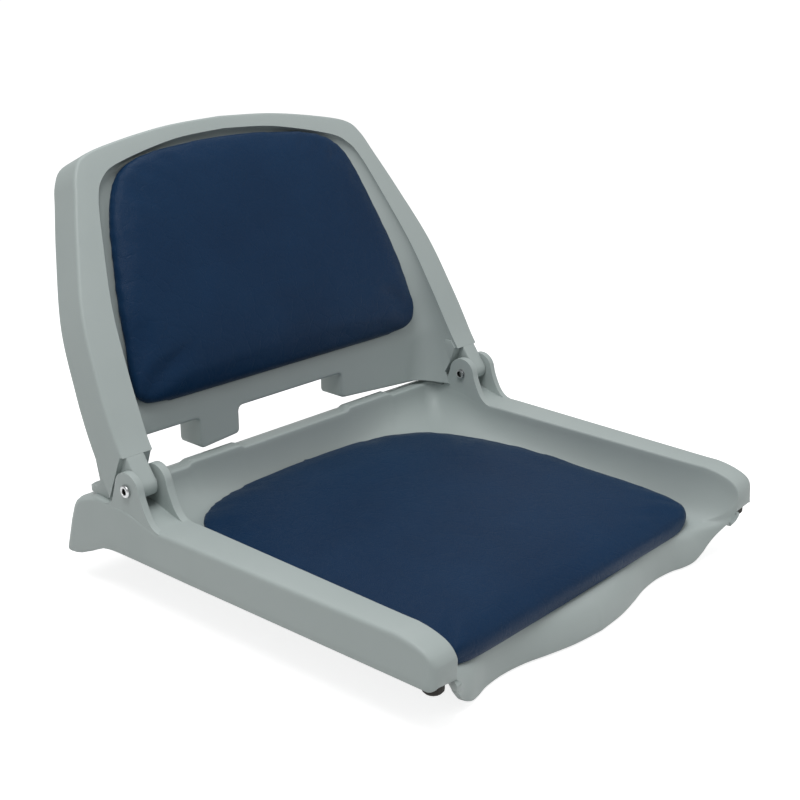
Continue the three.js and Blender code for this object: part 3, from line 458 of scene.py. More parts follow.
def prism(name, axis, outline, start, end):
    """A flat outline pushed along X or Y, in millimetres."""
    put = {"x": lambda u, v, w: (w, u, v), "y": lambda u, v, w: (u, w, v)}[axis]
    count = len(outline)
    points = [put(u, v, start) for u, v in outline] + [put(u, v, end) for u, v in outline]
    faces = [tuple(range(count)), tuple(range(2 * count - 1, count - 1, -1))]
    faces += [(i, i + count, (i + 1) % count + count, (i + 1) % count) for i in range(count)]
    piece = piece_from(name, points, faces)
    outward(piece)
    return piece


def cut(piece, cutter):
    """Cuts a piece with another, which then goes."""
    apply_modifier(piece, "BOOLEAN", object=cutter, operation="DIFFERENCE", solver="EXACT")
    bpy.data.objects.remove(cutter)


# The ear's front and rear sides, as steps from the pin in Y and heights in Z
EAR_FRONT = [
    (-42, 86.8), (-37.5, 88), (-33.5, 90.2), (-29.4, 93.8), (-25.8, 98.8), (-22.5, 105), (-19.8, 111),
    (-18.1, 115.6),
]
EAR_REAR = [(18.9, 114), (20.8, 108), (23.0, 102.5), (26.4, 98.4), (31, 96.2), (38, 95.4)]
EAR_ROOT = 80.0
EAR_RADIUS = 17.4
EAR_TAPER = 0.021
EAR_SUNK = 0.15


def ear(name, x_start, flush):
    """One hinge ear: a round top on sides that sweep out into the arm."""
    front = spline([(PIN_Y + y, z) for y, z in EAR_FRONT], 6)
    rear = spline([(PIN_Y + y, z) for y, z in EAR_REAR], 6)
    front_end, rear_end = front[0][0], rear[-1][0]
    top = arc((PIN_Y, PIN_Z), EAR_RADIUS, 171, 6, 28)
    outline = [(front_end, EAR_ROOT), *front, *top, *rear, (rear_end, EAR_ROOT)]
    piece = prism(name, "x", outline, x_start, x_start + EAR_THICK)
    for v in piece.data.vertices:
        # The arm narrows to the front, and the outer ear's face goes with it
        if flush and abs(v.co.x) > (HINGE_HALF - EAR_THICK / 2) * MM:
            v.co.x -= math.copysign((rear_end - v.co.y / MM) * EAR_TAPER * MM, v.co.x)
    bevel(piece, 1.5, 4, 60)
    smooth(piece)
    return piece


ears = []
for side, label in ((1, "left"), (-1, "right")):
    for place, x in (("inner", EAR_INNER), ("outer", HINGE_HALF - EAR_THICK - EAR_SUNK)):
        start = x if side > 0 else -x - EAR_THICK
        ears.append(ear(f"hinge_ear_{place}_{label}", start, place == "outer"))


# Back moulding

# The recess's flat lower part ends at this distance up the back
FLAT_TOP = 60.0

# The frame's lower end swells forward by this at its tip, from this distance up the back
LIFT = 1.6
LIFT_TOP = 52.0
LIFT_SPAN = 23.0


def on_back(x, up, behind):
    """A place from distances up the leaning back and behind its front plane."""
    depth = behind - PIN_DEPTH
    return (
        x,
        PIN_Y + up * math.sin(TILT) + depth * math.cos(TILT),
        PIN_Z + up * math.cos(TILT) - depth * math.sin(TILT),
    )


def panel_behind(up):
    """Depth of the upright lower panel behind the front plane."""
    return PIN_DEPTH + (PANEL_Y - PIN_Y - up * math.sin(TILT)) / math.cos(TILT)


def front_lift(up):
    """How far the frame's lower end swells forward to meet the tongue."""
    return LIFT * max(0, (LIFT_TOP - up) / LIFT_SPAN) ** 1.7


recess_read = reader([
    (FLAT_TOP, panel_behind(FLAT_TOP)), (78, panel_behind(FLAT_TOP) * 0.87), (105, 21.5), (150, 14),
    (216, 10.7), (BACK_HEIGHT, 10),
])


def floor_behind(up):
    """Depth of the panel and of the recess's floor behind the front plane."""
    return panel_behind(up) if up < FLAT_TOP else recess_read(up)


# The frame's outer side and the ridge round its recess, as distances across and up
OUTER_LINE = spline([
    (250, 6.7), (250, 34), (249.3, 65), (246, 103), (237.5, 162), (216.5, 228), (200, 273), (190.8, 296),
    (176.3, 311), (137.5, 321), (70, 331), (0, BACK_HEIGHT),
], 14)
RIDGE_LINE = spline([
    (216.5, 6.7), (216, 34), (214, 65), (211, 103), (204, 162), (188, 228), (176.3, 267.6), (163.8, 287),
    (140, 299.4), (67.5, 315.4), (0, 320),
], 14)
BACK_CENTRE = 180.0

# The back cushion's seam
BACK_SEAM_HALF = 190.0
BACK_SEAM_TAPER = 37 / 219
BACK_SEAM_TAPER_START = 95.0
BACK_SEAM_LOW_REACH = 112.0
BACK_SEAM_TOP_REACH = 134.0
BACK_SEAM_TOP_FALL = 14.0
BACK_SEAM_TOP_HALF = 153.0
BACK_SEAM_LOW_POWER = 14
BACK_SEAM_TOP_POWER = 8

PANEL_FLOOR_HALF = 180.0
PANEL_FLOOR_TOP = 56.0
FRAME_ROUND = 3.2

# Lines down the frame's skirt: depth behind the front plane, and how far the draft spreads it
SKIRT_LINES = [(SKIRT, 2.5), (SKIRT - 8, 1.95), (SKIRT / 2, 1.2), (8, 0.5), (FRAME_ROUND, 0)]
RECESS_RINGS = 14


def across_at(line):
    """Reads half the width of an outline at a distance up the back."""
    def read(up):
        for before, after in zip(line, line[1:]):
            if after[1] > up:
                share = (up - before[1]) / (after[1] - before[1])
                return lerp(before[0], after[0], share) if share > 0 else line[0][0]
        return 0
    return read


def outside_line(line):
    """Tests whether a point lies outside an outline."""
    width = across_at(line)

    def test(x, fore):
        up = fore + BACK_CENTRE
        return up > line[-1][1] or abs(x) > width(up)

    return test


def cushion_side(up):
    """Half the width of the back cushion's seam."""
    return min(BACK_SEAM_HALF, BACK_SEAM_HALF - BACK_SEAM_TAPER * (up - BACK_SEAM_TAPER_START))


def cushion_outside(x, fore):
    """Whether a point lies outside the back cushion's seam."""
    low = fore < 0
    top_reach = BACK_SEAM_TOP_REACH - BACK_SEAM_TOP_FALL * (x / BACK_SEAM_TOP_HALF) ** 2
    reach_up = BACK_SEAM_LOW_REACH if low else top_reach
    power = BACK_SEAM_LOW_POWER if low else BACK_SEAM_TOP_POWER
    return abs(x / cushion_side(fore + BACK_CENTRE)) ** power + abs(fore / reach_up) ** power > 1


LOW_STATIONS = 34
TOP_STATIONS = 84
LOW_START = -17.0


def back_half(level_across, outside):
    """Half of one line round the back: even steps up its side, then rays over its top."""
    half = []
    for i in range(LOW_STATIONS):
        up = lerp(LOW_START, BACK_CENTRE, i / LOW_STATIONS)
        half.append((level_across(up), up))
    for i in range(TOP_STATIONS + 1):
        angle = math.pi / 2 * i / TOP_STATIONS
        length = reach(outside, angle)
        half.append((length * math.cos(angle), BACK_CENTRE + length * math.sin(angle)))
    half[-1] = (0.0, half[-1][1])
    return half


def floor_level(up):
    """Half the width of the recess's floor."""
    return lerp(PANEL_FLOOR_HALF, cushion_side(up), min(max(up / PANEL_FLOOR_TOP, 0), 1))


def grown(line, amount):
    """A half line moved outwards."""
    out = []
    for i, p in enumerate(line):
        before, after = line[max(0, i - 1)], line[min(len(line) - 1, i + 1)]
        along = Vector((after[0] - before[0], after[1] - before[1])).normalized()
        normal = Vector((along.y, -along.x)) if i < len(line) - 1 else Vector((0, 1))
        out.append((p[0] + normal.x * amount, p[1] + normal.y * amount))
    return out


def frame_lines(outer, ridge):
    """Lines up the skirt, round the frame's edge and over its front face to half way."""
    lines = []
    for depth, spread in SKIRT_LINES:
        lift = 1 - depth / SKIRT
        lines.append([on_back(x, up, depth - front_lift(up) * lift) for x, up in grown(outer, spread)])
    for degrees in (25, 50, 75):
        turn = math.radians(degrees)
        inward, depth = FRAME_ROUND * (1 - math.cos(turn)), FRAME_ROUND * (1 - math.sin(turn))
        lines.append([on_back(x, up, depth - front_lift(up)) for x, up in grown(outer, -inward)])
    edge = grown(outer, -FRAME_ROUND)
    middle = [(lerp(o[0], r[0], 0.5), lerp(o[1], r[1], 0.5)) for o, r in zip(edge, ridge)]
    for line in (edge, middle):
        lines.append([on_back(x, up, -front_lift(up)) for x, up in line])
    return lines


def recess_lines(ridge, floor):
    """Lines from the ridge down a quarter-ellipse step to the recess's floor."""
    lines = []
    for i in range(RECESS_RINGS + 1):
        turn = math.pi / 2 * (1 - i / RECESS_RINGS)
        line = []
        for r, f in zip(ridge, floor):
            x, up = lerp(r[0], f[0], 1 - math.sin(turn)), lerp(r[1], f[1], 1 - math.sin(turn))
            depth = floor_behind(up) * math.cos(turn) - front_lift(up) * math.sin(turn)
            line.append(on_back(x, up, depth))
        lines.append(line)
    return lines


def back_moulding():
    """Skirt, front face, recess and lower panel as one open sheet."""
    outer = back_half(across_at(OUTER_LINE), outside_line(OUTER_LINE))
    ridge = back_half(across_at(RIDGE_LINE), outside_line(RIDGE_LINE))
    floor = back_half(floor_level, cushion_outside)
    lines = frame_lines(outer, ridge) + recess_lines(ridge, floor)
    points, faces = [], []
    for line in lines:
        points += line + [(-x, y, z) for x, y, z in reversed(line[:-1])]
    count = 2 * len(lines[0]) - 1
    for r in range(len(lines) - 1):
        for i in range(count - 1):
            a, b = r * count, (r + 1) * count
            faces.append((a + i, a + i + 1, b + i + 1, b + i))
    last = (len(lines) - 1) * count
    middle = (count - 1) // 2
    for i in range(middle - 1):
        faces.append((last + i, last + i + 1, last + count - 2 - i, last + count - 1 - i))
    faces.append((last + middle - 1, last + middle, last + middle + 1))
    sheet = piece_from("back_moulding", points, faces)
    outward(sheet)
    if nearest_face(sheet, on_back(0, BACK_CENTRE, floor_behind(BACK_CENTRE))).normal.y > 0:
        sheet.data.flip_normals()
    return sheet


# The slit behind each outer ear, and the underside of the heels
POCKET_TOP = (PIN_Y + 11.4, PIN_Z + 27.8)
HEEL_BOTTOM = RIM_TOP + 0.3
POCKET_BOTTOM = (PIN_Y + 29.5, HEEL_BOTTOM)
POCKET_SIDE = 211.8


def cut_pockets(piece):
    """Slices the open sheet along the hinge pockets and drops what lies in them."""
    slant = Vector((0, POCKET_TOP[1] - POCKET_BOTTOM[1], POCKET_BOTTOM[0] - POCKET_TOP[0]))
    planes = [
        ((POCKET_SIDE, 0, 0), (1, 0, 0)), ((-POCKET_SIDE, 0, 0), (1, 0, 0)),
        ((0, 0, POCKET_TOP[1]), (0, 0, 1)), ((0, 0, HEEL_BOTTOM), (0, 0, 1)),
        ((0, *POCKET_TOP), slant),
    ]
    mesh = bmesh.new()
    mesh.from_mesh(piece.data)
    for place, normal in planes:
        bmesh.ops.bisect_plane(
            mesh, geom=mesh.verts[:] + mesh.edges[:] + mesh.faces[:],
            plane_co=[c * MM for c in place], plane_no=Vector(normal).normalized(),
        )
    gone = []
    for f in mesh.faces:
        middle = f.calc_center_median() / MM
        ahead = slant.dot(middle - Vector((0, *POCKET_TOP))) < 0
        if abs(middle.x) > POCKET_SIDE and (middle.z < HEEL_BOTTOM or (middle.z < POCKET_TOP[1] and ahead)):
            gone.append(f)
    bmesh.ops.delete(mesh, geom=gone, context="FACES")
    mesh.to_mesh(piece.data)
    mesh.free()


back_skin = back_moulding()
cut_pockets(back_skin)
apply_modifier(back_skin, "SOLIDIFY", thickness=WALL * MM, offset=-1)

# The lower panel's outline: its tabs stand either side of a notch
PANEL_HIGH = 138.5
PANEL_HALF = 215.0
NOTCH_HALF = 73.0
TAB_END = 124.0
TAB_LOW = 110.0
PANEL_LOW = 98.6


def low_at(x):
    """Height of the panel's lower edge outside the notch."""
    return lerp(TAB_LOW, PANEL_LOW, (abs(x) - NOTCH_HALF) / (PANEL_HALF - NOTCH_HALF))


def rounded(points, radius, steps=5):
    """An open outline with its corners rounded."""
    out = [points[0]]
    for before, here, after in zip(points, points[1:], points[2:]):
        a, b, c = Vector(before), Vector(here), Vector(after)
        into, away = (a - b).normalized(), (c - b).normalized()
        angle = into.angle(away)
        trim = min(radius / math.tan(angle / 2), 0.45 * min((a - b).length, (c - b).length))
        start, end = b + into * trim, b + away * trim
        for i in range(steps + 1):
            t = i / steps
            p = start.lerp(b, t).lerp(b.lerp(end, t), t)
            out.append((p.x, p.y))
    return out + [points[-1]]


panel_edge = rounded([
    (-PANEL_HALF, PANEL_HIGH), (-TAB_END, PANEL_HIGH), (-TAB_END, low_at(TAB_END)),
    (-NOTCH_HALF, low_at(NOTCH_HALF)), (-NOTCH_HALF, PANEL_HIGH), (NOTCH_HALF, PANEL_HIGH),
    (NOTCH_HALF, low_at(NOTCH_HALF)), (PANEL_HALF, low_at(PANEL_HALF)),
], 6)


def shifted(line, amount):
    """An open outline moved to its upper side."""
    out = []
    for i, p in enumerate(line):
        before, after = line[max(0, i - 1)], line[min(len(line) - 1, i + 1)]
        into = (Vector(p) - Vector(before)).normalized() if i else None
        away = (Vector(after) - Vector(p)).normalized() if i < len(line) - 1 else None
        into, away = into or away, away or into
        along = (into + away).normalized()
        normal = Vector((-along.y, along.x))
        stretch = 1 / max(normal.dot(Vector((-into.y, into.x))), 0.5)
        out.append((p[0] + normal.x * amount * stretch, p[1] + normal.y * amount * stretch))
    return out


def lower_edge():
    """Rounded edge and deep returns along the back's lower outline, from a section of inset and depth."""
    profile = [(5.2, -0.08), (2.6, -0.08)]
    for degrees in (20, 45, 70):
        turn = math.radians(degrees)
        profile.append((2.6 - 2.5 * math.sin(turn), 2.6 - 2.68 * math.cos(turn)))
    profile += [(0.0, 2.6), (0.0, 18.0), (0.0, 31.6), (0.6, 32.8), (2.0, 33.0), (3.4, 32.8)]
    profile += [(WALL, 31.6), (WALL, 18.0), (WALL, 3.9), (5.2, 3.9)]
    points, faces = [], []
    for inset, depth in profile:
        points += [(x, PANEL_Y + depth, z) for x, z in shifted(panel_edge, inset)]
    count, rows = len(panel_edge), len(profile)
    for r in range(rows):
        a, b = r * count, ((r + 1) % rows) * count
        for i in range(count - 1):
            faces.append((a + i, a + i + 1, b + i + 1, b + i))
    faces.append(tuple(r * count for r in range(rows)))
    faces.append(tuple(r * count + count - 1 for r in reversed(range(rows))))
    piece = piece_from("back_lower_edge", points, faces)
    outward(piece)
    smooth(piece)
    return piece


back_edge = lower_edge()
inside_edge = shifted(panel_edge, 2.4)
below_edge = inside_edge + [(PANEL_HALF, -40), (-PANEL_HALF, -40)]
cut(back_skin, prism("below_panel", "y", below_edge, 60, 320))
smooth(back_skin, 35)


# Hinge legs

TONGUE_INNER = 225.6
TONGUE_OUTER = 245.5
TONGUE_RADIUS = 10.6
HEEL_INNER = 214.5
HEEL_OUTER = 248.0
HEEL_REAR = PIN_Y + 71.0
HEEL_TOP = HEEL_BOTTOM + 55.0


def round_foot(piece, rear):
    """Rounds the upright edges at a heel's rear end."""
    weights = piece.data.attributes.new("bevel_weight_edge", "FLOAT", "EDGE")
    for edge in piece.data.edges:
        ends = [piece.data.vertices[v].co / MM for v in edge.vertices]
        upright = abs(ends[0].x - ends[1].x) < 0.01 and abs(ends[0].z - ends[1].z) > 1
        if upright and all(abs(end.y - rear) < 0.01 for end in ends):
            weights.data[edge.index].value = 1.0
    apply_modifier(piece, "BEVEL", width=12 * MM, segments=8, limit_method="WEIGHT")


def tongue(side, label):
    """The tongue between the ears, round below the pin and faired into the frame above."""
    def face(up, behind):
        return on_back(0, up, behind)[1:]

    start, end = sorted((side * TONGUE_INNER, side * TONGUE_OUTER))
    rise = [face(up, -front_lift(up)) for up in (4, 8, 12, 16, 20, 24, 28.9)]
    outline = [
        *arc((PIN_Y, PIN_Z), TONGUE_RADIUS, 310, 152, 26), *rise, face(30, 2.5), face(53, 3),
        (PIN_Y + 50, PIN_Z + 38), (PIN_Y + 31, PIN_Z - 7),
    ]
    piece = prism(f"back_tongue_{label}", "x", outline, start, end)
    bevel(piece, 1.6, 4, 50)
    smooth(piece)
    return piece


def heel(side, label):
    """The hollow heel that rests on the base's rear corner."""
    start, end = sorted((side * HEEL_INNER, side * HEEL_OUTER))
    outline = [
        POCKET_TOP, POCKET_BOTTOM, (HEEL_REAR, HEEL_BOTTOM), (HEEL_REAR, HEEL_BOTTOM + 4.2),
        (PIN_Y + 55, HEEL_BOTTOM + 8), (PIN_Y + 48, HEEL_BOTTOM + 15), (PIN_Y + 57, HEEL_TOP),
        (PIN_Y + 17, HEEL_TOP),
    ]
    piece = prism(f"back_heel_{label}", "x", outline, start, end)
    round_foot(piece, HEEL_REAR)
    hollow = [
        (PIN_Y + 20.6, HEEL_TOP + 5), (PIN_Y + 31, HEEL_BOTTOM + WALL), (PIN_Y + 95, HEEL_BOTTOM + WALL),
        (PIN_Y + 95, HEEL_TOP + 5),
    ]
    cut(piece, prism("hollow", "x", hollow, start + WALL, end - WALL))
    bevel(piece, 1.0, 2, 40)
    smooth(piece)
    return piece


legs = [make(side, label) for side, label in ((1, "left"), (-1, "right")) for make in (tongue, heel)]


# Ribs under the pan

RIB_HALF = 2.25
CRATE_HALF = 82
BOLT_HALF = 63.5
CRATE_STEPS = [-100, -BOLT_HALF, 0, BOLT_HALF, 134]

# Each side rib's parts, which follow the arm's wall: start, end, and the rise of the top at both
SIDE_PARTS = [(CRATE_HALF, 190, 0, 0), (189, 204, -1.5, -1.5), (203, 212, -1.5, 6)]
SIDE_LOW = 27
CENTRE_BOSS = 18
BOLT_BOSS = 12
BOLT_BORE = 5.1
SEAT_SCREWS = [(side * 100, y) for side in (-1, 1) for y in (-50, 86)]
SCREW_PAD = 7
PAD_DEPTH = 5


def under_pan(y):
    """Height at which ribs end, inside the pan's wall."""
    return seam_height(y) - 2


def rib(across, along, low, tops):
    """A rib from a cube, its top moved to the pan's underside."""
    deselect()
    bpy.ops.mesh.primitive_cube_add(size=MM, location=(0, 0, 0))
    piece = bpy.context.object
    for v in piece.data.vertices:
        x, y = across[v.co.x > 0], along[v.co.y > 0]
        z = tops(x, y) if v.co.z > 0 else low
        v.co = (x * MM, y * MM, z * MM)
    apply_modifier(piece, "BEVEL", width=0.6 * MM, segments=2)
    smooth(piece)
    return piece


def cross_rib(start, end, y, low, rise_start=0, rise_end=0):
    """A rib along X."""
    tops = {start: under_pan(y) + rise_start, end: under_pan(y) + rise_end}
    return rib(sorted((start, end)), (y - RIB_HALF, y + RIB_HALF), low, lambda x, _: tops[x])


def cylinder(x, y, middle, radius, depth, sides):
    """An upright cylinder, in millimetres."""
    deselect()
    bpy.ops.mesh.primitive_cylinder_add(
        vertices=sides, radius=radius * MM, depth=depth * MM, location=(x * MM, y * MM, middle * MM),
    )
    return bpy.context.object


def joined(name, pieces):
    """Several pieces as one."""
    only(pieces[0])
    for piece in pieces[1:]:
        piece.select_set(True)
    bpy.ops.object.join()
    piece = bpy.context.object
    piece.name = name
    settle(piece)
    return piece


def rib_crate():
    """Crate and side ribs, bolt bosses and screw pads as one piece."""
    parts = []
    for x in (-CRATE_HALF, -BOLT_HALF, 0, BOLT_HALF, CRATE_HALF):
        for along in zip(CRATE_STEPS, CRATE_STEPS[1:]):
            parts.append(rib((x - RIB_HALF, x + RIB_HALF), along, 0, lambda _, y: under_pan(y)))
    for y in CRATE_STEPS:
        parts.append(cross_rib(-CRATE_HALF, CRATE_HALF, y, 0))
    for y in (-BOLT_HALF, BOLT_HALF):
        for side in (1, -1):
            for start, end, *rises in SIDE_PARTS:
                parts.append(cross_rib(side * start, side * end, y, SIDE_LOW, *rises))
    bolts = [(x, y) for x in (-BOLT_HALF, BOLT_HALF) for y in (-BOLT_HALF, BOLT_HALF)]
    for x, y in [(0, 0), *bolts]:
        top = under_pan(y)
        boss = cylinder(x, y, top / 2, BOLT_BOSS if x else CENTRE_BOSS, top, 48)
        settle(boss)
        if x:
            cut(boss, cylinder(x, y, 0, BOLT_BORE, 34, 32))
        smooth(boss)
        parts.append(boss)
    for x, y in SEAT_SCREWS:
        low = seam_height(y) - WALL - 3
        pad = cylinder(x, y, low + PAD_DEPTH / 2, SCREW_PAD, PAD_DEPTH, 32)
        settle(pad)
        smooth(pad)
        parts.append(pad)
    return joined("seat_ribs", parts)


ribs = rib_crate()


# Cushions

CUSHION_STEPS = 60
CUSHION_FOOT = 0.4
VOXEL = 4.5
CLOTH_FRAMES = 20
MOST_MOVE = 2.0

# Cloth lower than this over the seam is held
HELD_BELOW = 2.4


def cushion_start(name, half, centre, place, crown, edge, bulge, left_extra):
    """Closed form of a cushion that bulges over its seam, fuller on the side that the arm hides."""
    def inset(amount):
        out = []
        for x, y in half:
            away = Vector((x - centre[0], y - centre[1]))
            k = 1 - amount / away.length
            out.append((centre[0] + away.x * k, centre[1] + away.y * k))
        return out

    def share(part):
        return [(lerp(centre[0], x, part), lerp(centre[1], y, part)) for x, y in half]

    def left(x, y):
        return -x - left_extra(y) * min(1, x / 150) ** 1.5

    # Each ring is an outline and its height, from the underside over the edge to the crown
    top = crown - edge
    rings = [
        (inset(7), CUSHION_FOOT), (inset(2.5), 0.7), (inset(0.4), 3.0), (inset(-bulge * 0.56), edge * 0.42),
        (inset(-bulge), edge * 0.72), (inset(-bulge), edge), (inset(-bulge * 0.5), edge + top * 0.26),
        (inset(2.5), edge + top * 0.48), (inset(11), edge + top * 0.66), (inset(26), edge + top * 0.79),
        (share(0.66), edge + top * 0.91), (share(0.34), edge + top * 0.98),
    ]
    points = []
    for line, height in rings:
        points += [place(x, y, height) for x, y in line]
        points += [place(left(x, y), y, height) for x, y in reversed(line[1:-1])]
    count = 2 * len(half) - 2
    faces = ring_faces(len(rings), count)
    for start, height in ((0, CUSHION_FOOT), ((len(rings) - 1) * count, crown)):
        faces += cap_faces(start, count, len(points))
        points.append(place(centre[0], centre[1], height))
    piece = piece_from(name, points, faces)
    outward(piece)
    return piece


def turned_half(outside, centre_v):
    """Half of an outline from rays round its centre, from the front to the rear."""
    line = []
    for i in range(CUSHION_STEPS + 1):
        angle = -math.pi / 2 + math.pi * i / CUSHION_STEPS
        length = reach(outside, angle)
        line.append((length * math.cos(angle), centre_v + length * math.sin(angle)))
    line[0] = (0.0, line[0][1])
    line[-1] = (0.0, line[-1][1])
    return line


def stuff(piece, held_test):
    """Blows the cushion up a little as cloth, held at its flat underside."""
    apply_modifier(piece, "REMESH", mode="VOXEL", voxel_size=VOXEL * MM, adaptivity=0)
    rest = [v.co.copy() for v in piece.data.vertices]
    held = piece.vertex_groups.new(name="held")
    held.add([v.index for v in piece.data.vertices if held_test(v.co)], 1.0, "REPLACE")
    only(piece)
    cloth = piece.modifiers.new("Cloth", "CLOTH")
    cloth.settings.use_pressure = True
    cloth.settings.uniform_pressure_force = 4
    cloth.settings.tension_stiffness = 40
    cloth.settings.compression_stiffness = 40
    cloth.settings.bending_stiffness = 4
    cloth.settings.vertex_group_mass = "held"
    cloth.settings.effector_weights.gravity = 0
    scene = bpy.context.scene
    for step in range(1, CLOTH_FRAMES + 1):
        scene.frame_set(step)
    bpy.ops.object.modifier_apply(modifier=cloth.name)
    scene.frame_set(1)
    for v, start in zip(piece.data.vertices, rest):
        move = v.co - start
        if move.length > MOST_MOVE * MM:
            v.co = start + move.normalized() * MOST_MOVE * MM
    apply_modifier(piece, "SMOOTH", factor=0.5, iterations=6)
    apply_modifier(piece, "SUBSURF", levels=1, render_levels=1)
    only(piece)
    bpy.ops.object.shade_smooth()


# The seat cushion's height at its rear, from its height at the front
rear_height = reader([(0, 0), (14, 9.2), (19, 10.6), (20.9, 12), (22.3, 15.5), (23.6, 19.5), (24.5, 21.5)])


def seat_place(x, y, height):
    """Sets a seat cushion point on its seam: flatter to the rear, and over the lip at the front."""
    fore = max(0, (-y - 100) / 72)
    hang = 4.5 * fore ** 4 * max(0, 1 - height / 14)
    over_lip = lerp(10.5, 4.5, (x + SEAM_HALF) / (2 * SEAM_HALF)) * fore ** 2
    high = lerp(height, rear_height(height), smoothstep(-190, -10, y))
    return x, y - over_lip, seam_height(y) + high - hang


def above_floor(co):
    """Millimetres in front of the back's recess floor."""
    y, z = co.y / MM - PIN_Y, co.z / MM - PIN_Z
    up = y * math.sin(TILT) + z * math.cos(TILT)
    behind = y * math.cos(TILT) - z * math.sin(TILT) + PIN_DEPTH
    return floor_behind(up) - behind


seat_cushion = cushion_start(
    "seat_cushion", turned_half(seam_outside, SEAM_CENTRE), (0, SEAM_CENTRE), seat_place, 24.5, 14, 3,
    reader([(-172, 7), (60, 8), (110, 12), (150, 19), (180, 23)]),
)
stuff(seat_cushion, lambda co: co.z / MM < seam_height(co.y / MM) + HELD_BELOW)

back_cushion = cushion_start(
    "back_cushion", turned_half(cushion_outside, BACK_CENTRE), (0, BACK_CENTRE),
    lambda x, y, h: on_back(x, y, floor_behind(y) - h), 22, 9.2, 0.6,
    reader([(60, 14), (112, 12), (162, 15), (228, 10), (280, 1), (314, 0)]),
)
stuff(back_cushion, lambda co: above_floor(co) < HELD_BELOW)


# Rivets

RIVET_GAP = 0.3
RIVET_TAIL = -44.1
RIVET_BORE = 3.2

# The section as radius and place along the axis: domed head, shank, rolled end and bore
RIVET_SECTION = [
    (3.1, 1.4), (3.5, 1.9), (4.4, 2.0), (5.2, 1.75), (5.8, 1.2), (6.1, 0.5), (6.1, 0.0), (4.2, 0.0),
    (4.2, RIVET_TAIL + 0.8), (4.9, RIVET_TAIL + 0.5), (4.9, RIVET_TAIL + 0.1), (4.3, RIVET_TAIL),
    (3.4, RIVET_TAIL), (3.0, RIVET_TAIL + 0.4), (3.0, 1.2),
]


def rivet(side, label):
    """Tubular rivet, spun from its section."""
    start = HINGE_HALF + RIVET_GAP
    mesh = bpy.data.meshes.new(f"rivet_{label}")
    points = [
        (side * (start + along) * MM, PIN_Y * MM, (PIN_Z + radius) * MM) for radius, along in RIVET_SECTION
    ]
    mesh.from_pydata(points, [(i, (i + 1) % len(points)) for i in range(len(points))], [])
    body = bpy.data.objects.new(f"rivet_{label}", mesh)
    bpy.context.scene.collection.objects.link(body)
    only(body)
    bpy.ops.object.mode_set(mode="EDIT")
    bpy.ops.mesh.select_all(action="SELECT")
    bpy.ops.mesh.spin(steps=56, angle=2 * math.pi, center=(0, PIN_Y * MM, PIN_Z * MM), axis=(1, 0, 0))
    bpy.ops.object.mode_set(mode="OBJECT")
    outward(body)
    smooth(body)
    return body


rivets = [rivet(1, "left"), rivet(-1, "right")]


# Materials

class Looks:
    """The nodes of a material or world, with short ways to add to them."""

    def __init__(self, owner):
        owner.use_nodes = True
        self.owner = owner
        self.nodes = owner.node_tree.nodes
        self.links = owner.node_tree.links

    def fill(self, node, values):
        """Fills a node's inputs: an output is linked, anything else is set as it is."""
        for key, value in values.items():
            if isinstance(value, bpy.types.NodeSocket):
                self.links.new(value, node.inputs[key])
            else:
                node.inputs[key].default_value = value

    def surface(self, values):
        """Fills the material's shader and hands the material over."""
        self.fill(self.nodes["Principled BSDF"], values)
        return self.owner

    def add(self, kind, output, values, **settings):
        """Adds a node and gives one of its outputs."""
        made = self.nodes.new("ShaderNode" + kind)
        for key, value in settings.items():
            setattr(made, key, value)
        self.fill(made, values)
        return made.outputs[output]

    def places(self):
        """Places on the piece itself."""
        return self.add("TexCoord", "Object", {})

    def noise(self, scale, detail, roughness=0.55, output="Fac"):
        """Noise over the piece."""
        values = {"Vector": self.places(), "Scale": scale, "Detail": detail, "Roughness": roughness}
        return self.add("TexNoise", output, values)

    def cell_edges(self, where, scale):
        """Distance to the edges of random cells."""
        values = {"Vector": where, "Scale": scale}
        return self.add("TexVoronoi", "Distance", values, feature="DISTANCE_TO_EDGE")

    def spread(self, value, low, high, full=1.0):
        """Maps a value between 0 and full onto a range."""
        values = {"Value": value, "From Max": full, "To Min": low, "To Max": high}
        return self.add("MapRange", "Result", values)

    def bump(self, height, strength, distance, onto=None):
        """A bumped normal, on top of another where one is given."""
        values = {"Height": height, "Strength": strength, "Distance": distance}
        if onto is not None:
            values["Normal"] = onto
        return self.add("Bump", "Normal", values)

    def clouds(self, scale, detail, dark, light, last=0.7):
        """A colour that drifts between two in soft clouds."""
        made = self.nodes.new("ShaderNodeValToRGB")
        for element, place, color in zip(made.color_ramp.elements, (0.3, last), (dark, light)):
            element.position = place
            element.color = (*color, 1)
        self.fill(made, {"Fac": self.noise(scale, detail)})
        return made.outputs["Color"]

    def seen_by(self, other):
        """1 for rays from the camera or of another kind, else 0."""
        kinds = {0: self.add("LightPath", "Is Camera Ray", {}), 1: self.add("LightPath", other, {})}
        return self.add("Math", 0, kinds, operation="MAXIMUM")


def new_looks(name):
    """The nodes of a new material."""
    return Looks(bpy.data.materials.new(name))


def moulded_plastic():
    """Light grey plastic with a fine grain and faint waves."""
    looks = new_looks("grey moulded plastic")
    waves = looks.bump(looks.noise(14, 2), 0.12, 0.002)
    return looks.surface({
        "Base Color": looks.clouds(9, 3, (0.405, 0.462, 0.452), (0.43, 0.486, 0.476)),
        "Roughness": looks.spread(looks.noise(60, 5), 0.42, 0.56),
        "Normal": looks.bump(looks.noise(1400, 2, 0.6), 0.16, 0.00025, waves),
        "Specular IOR Level": 0.42,
    })


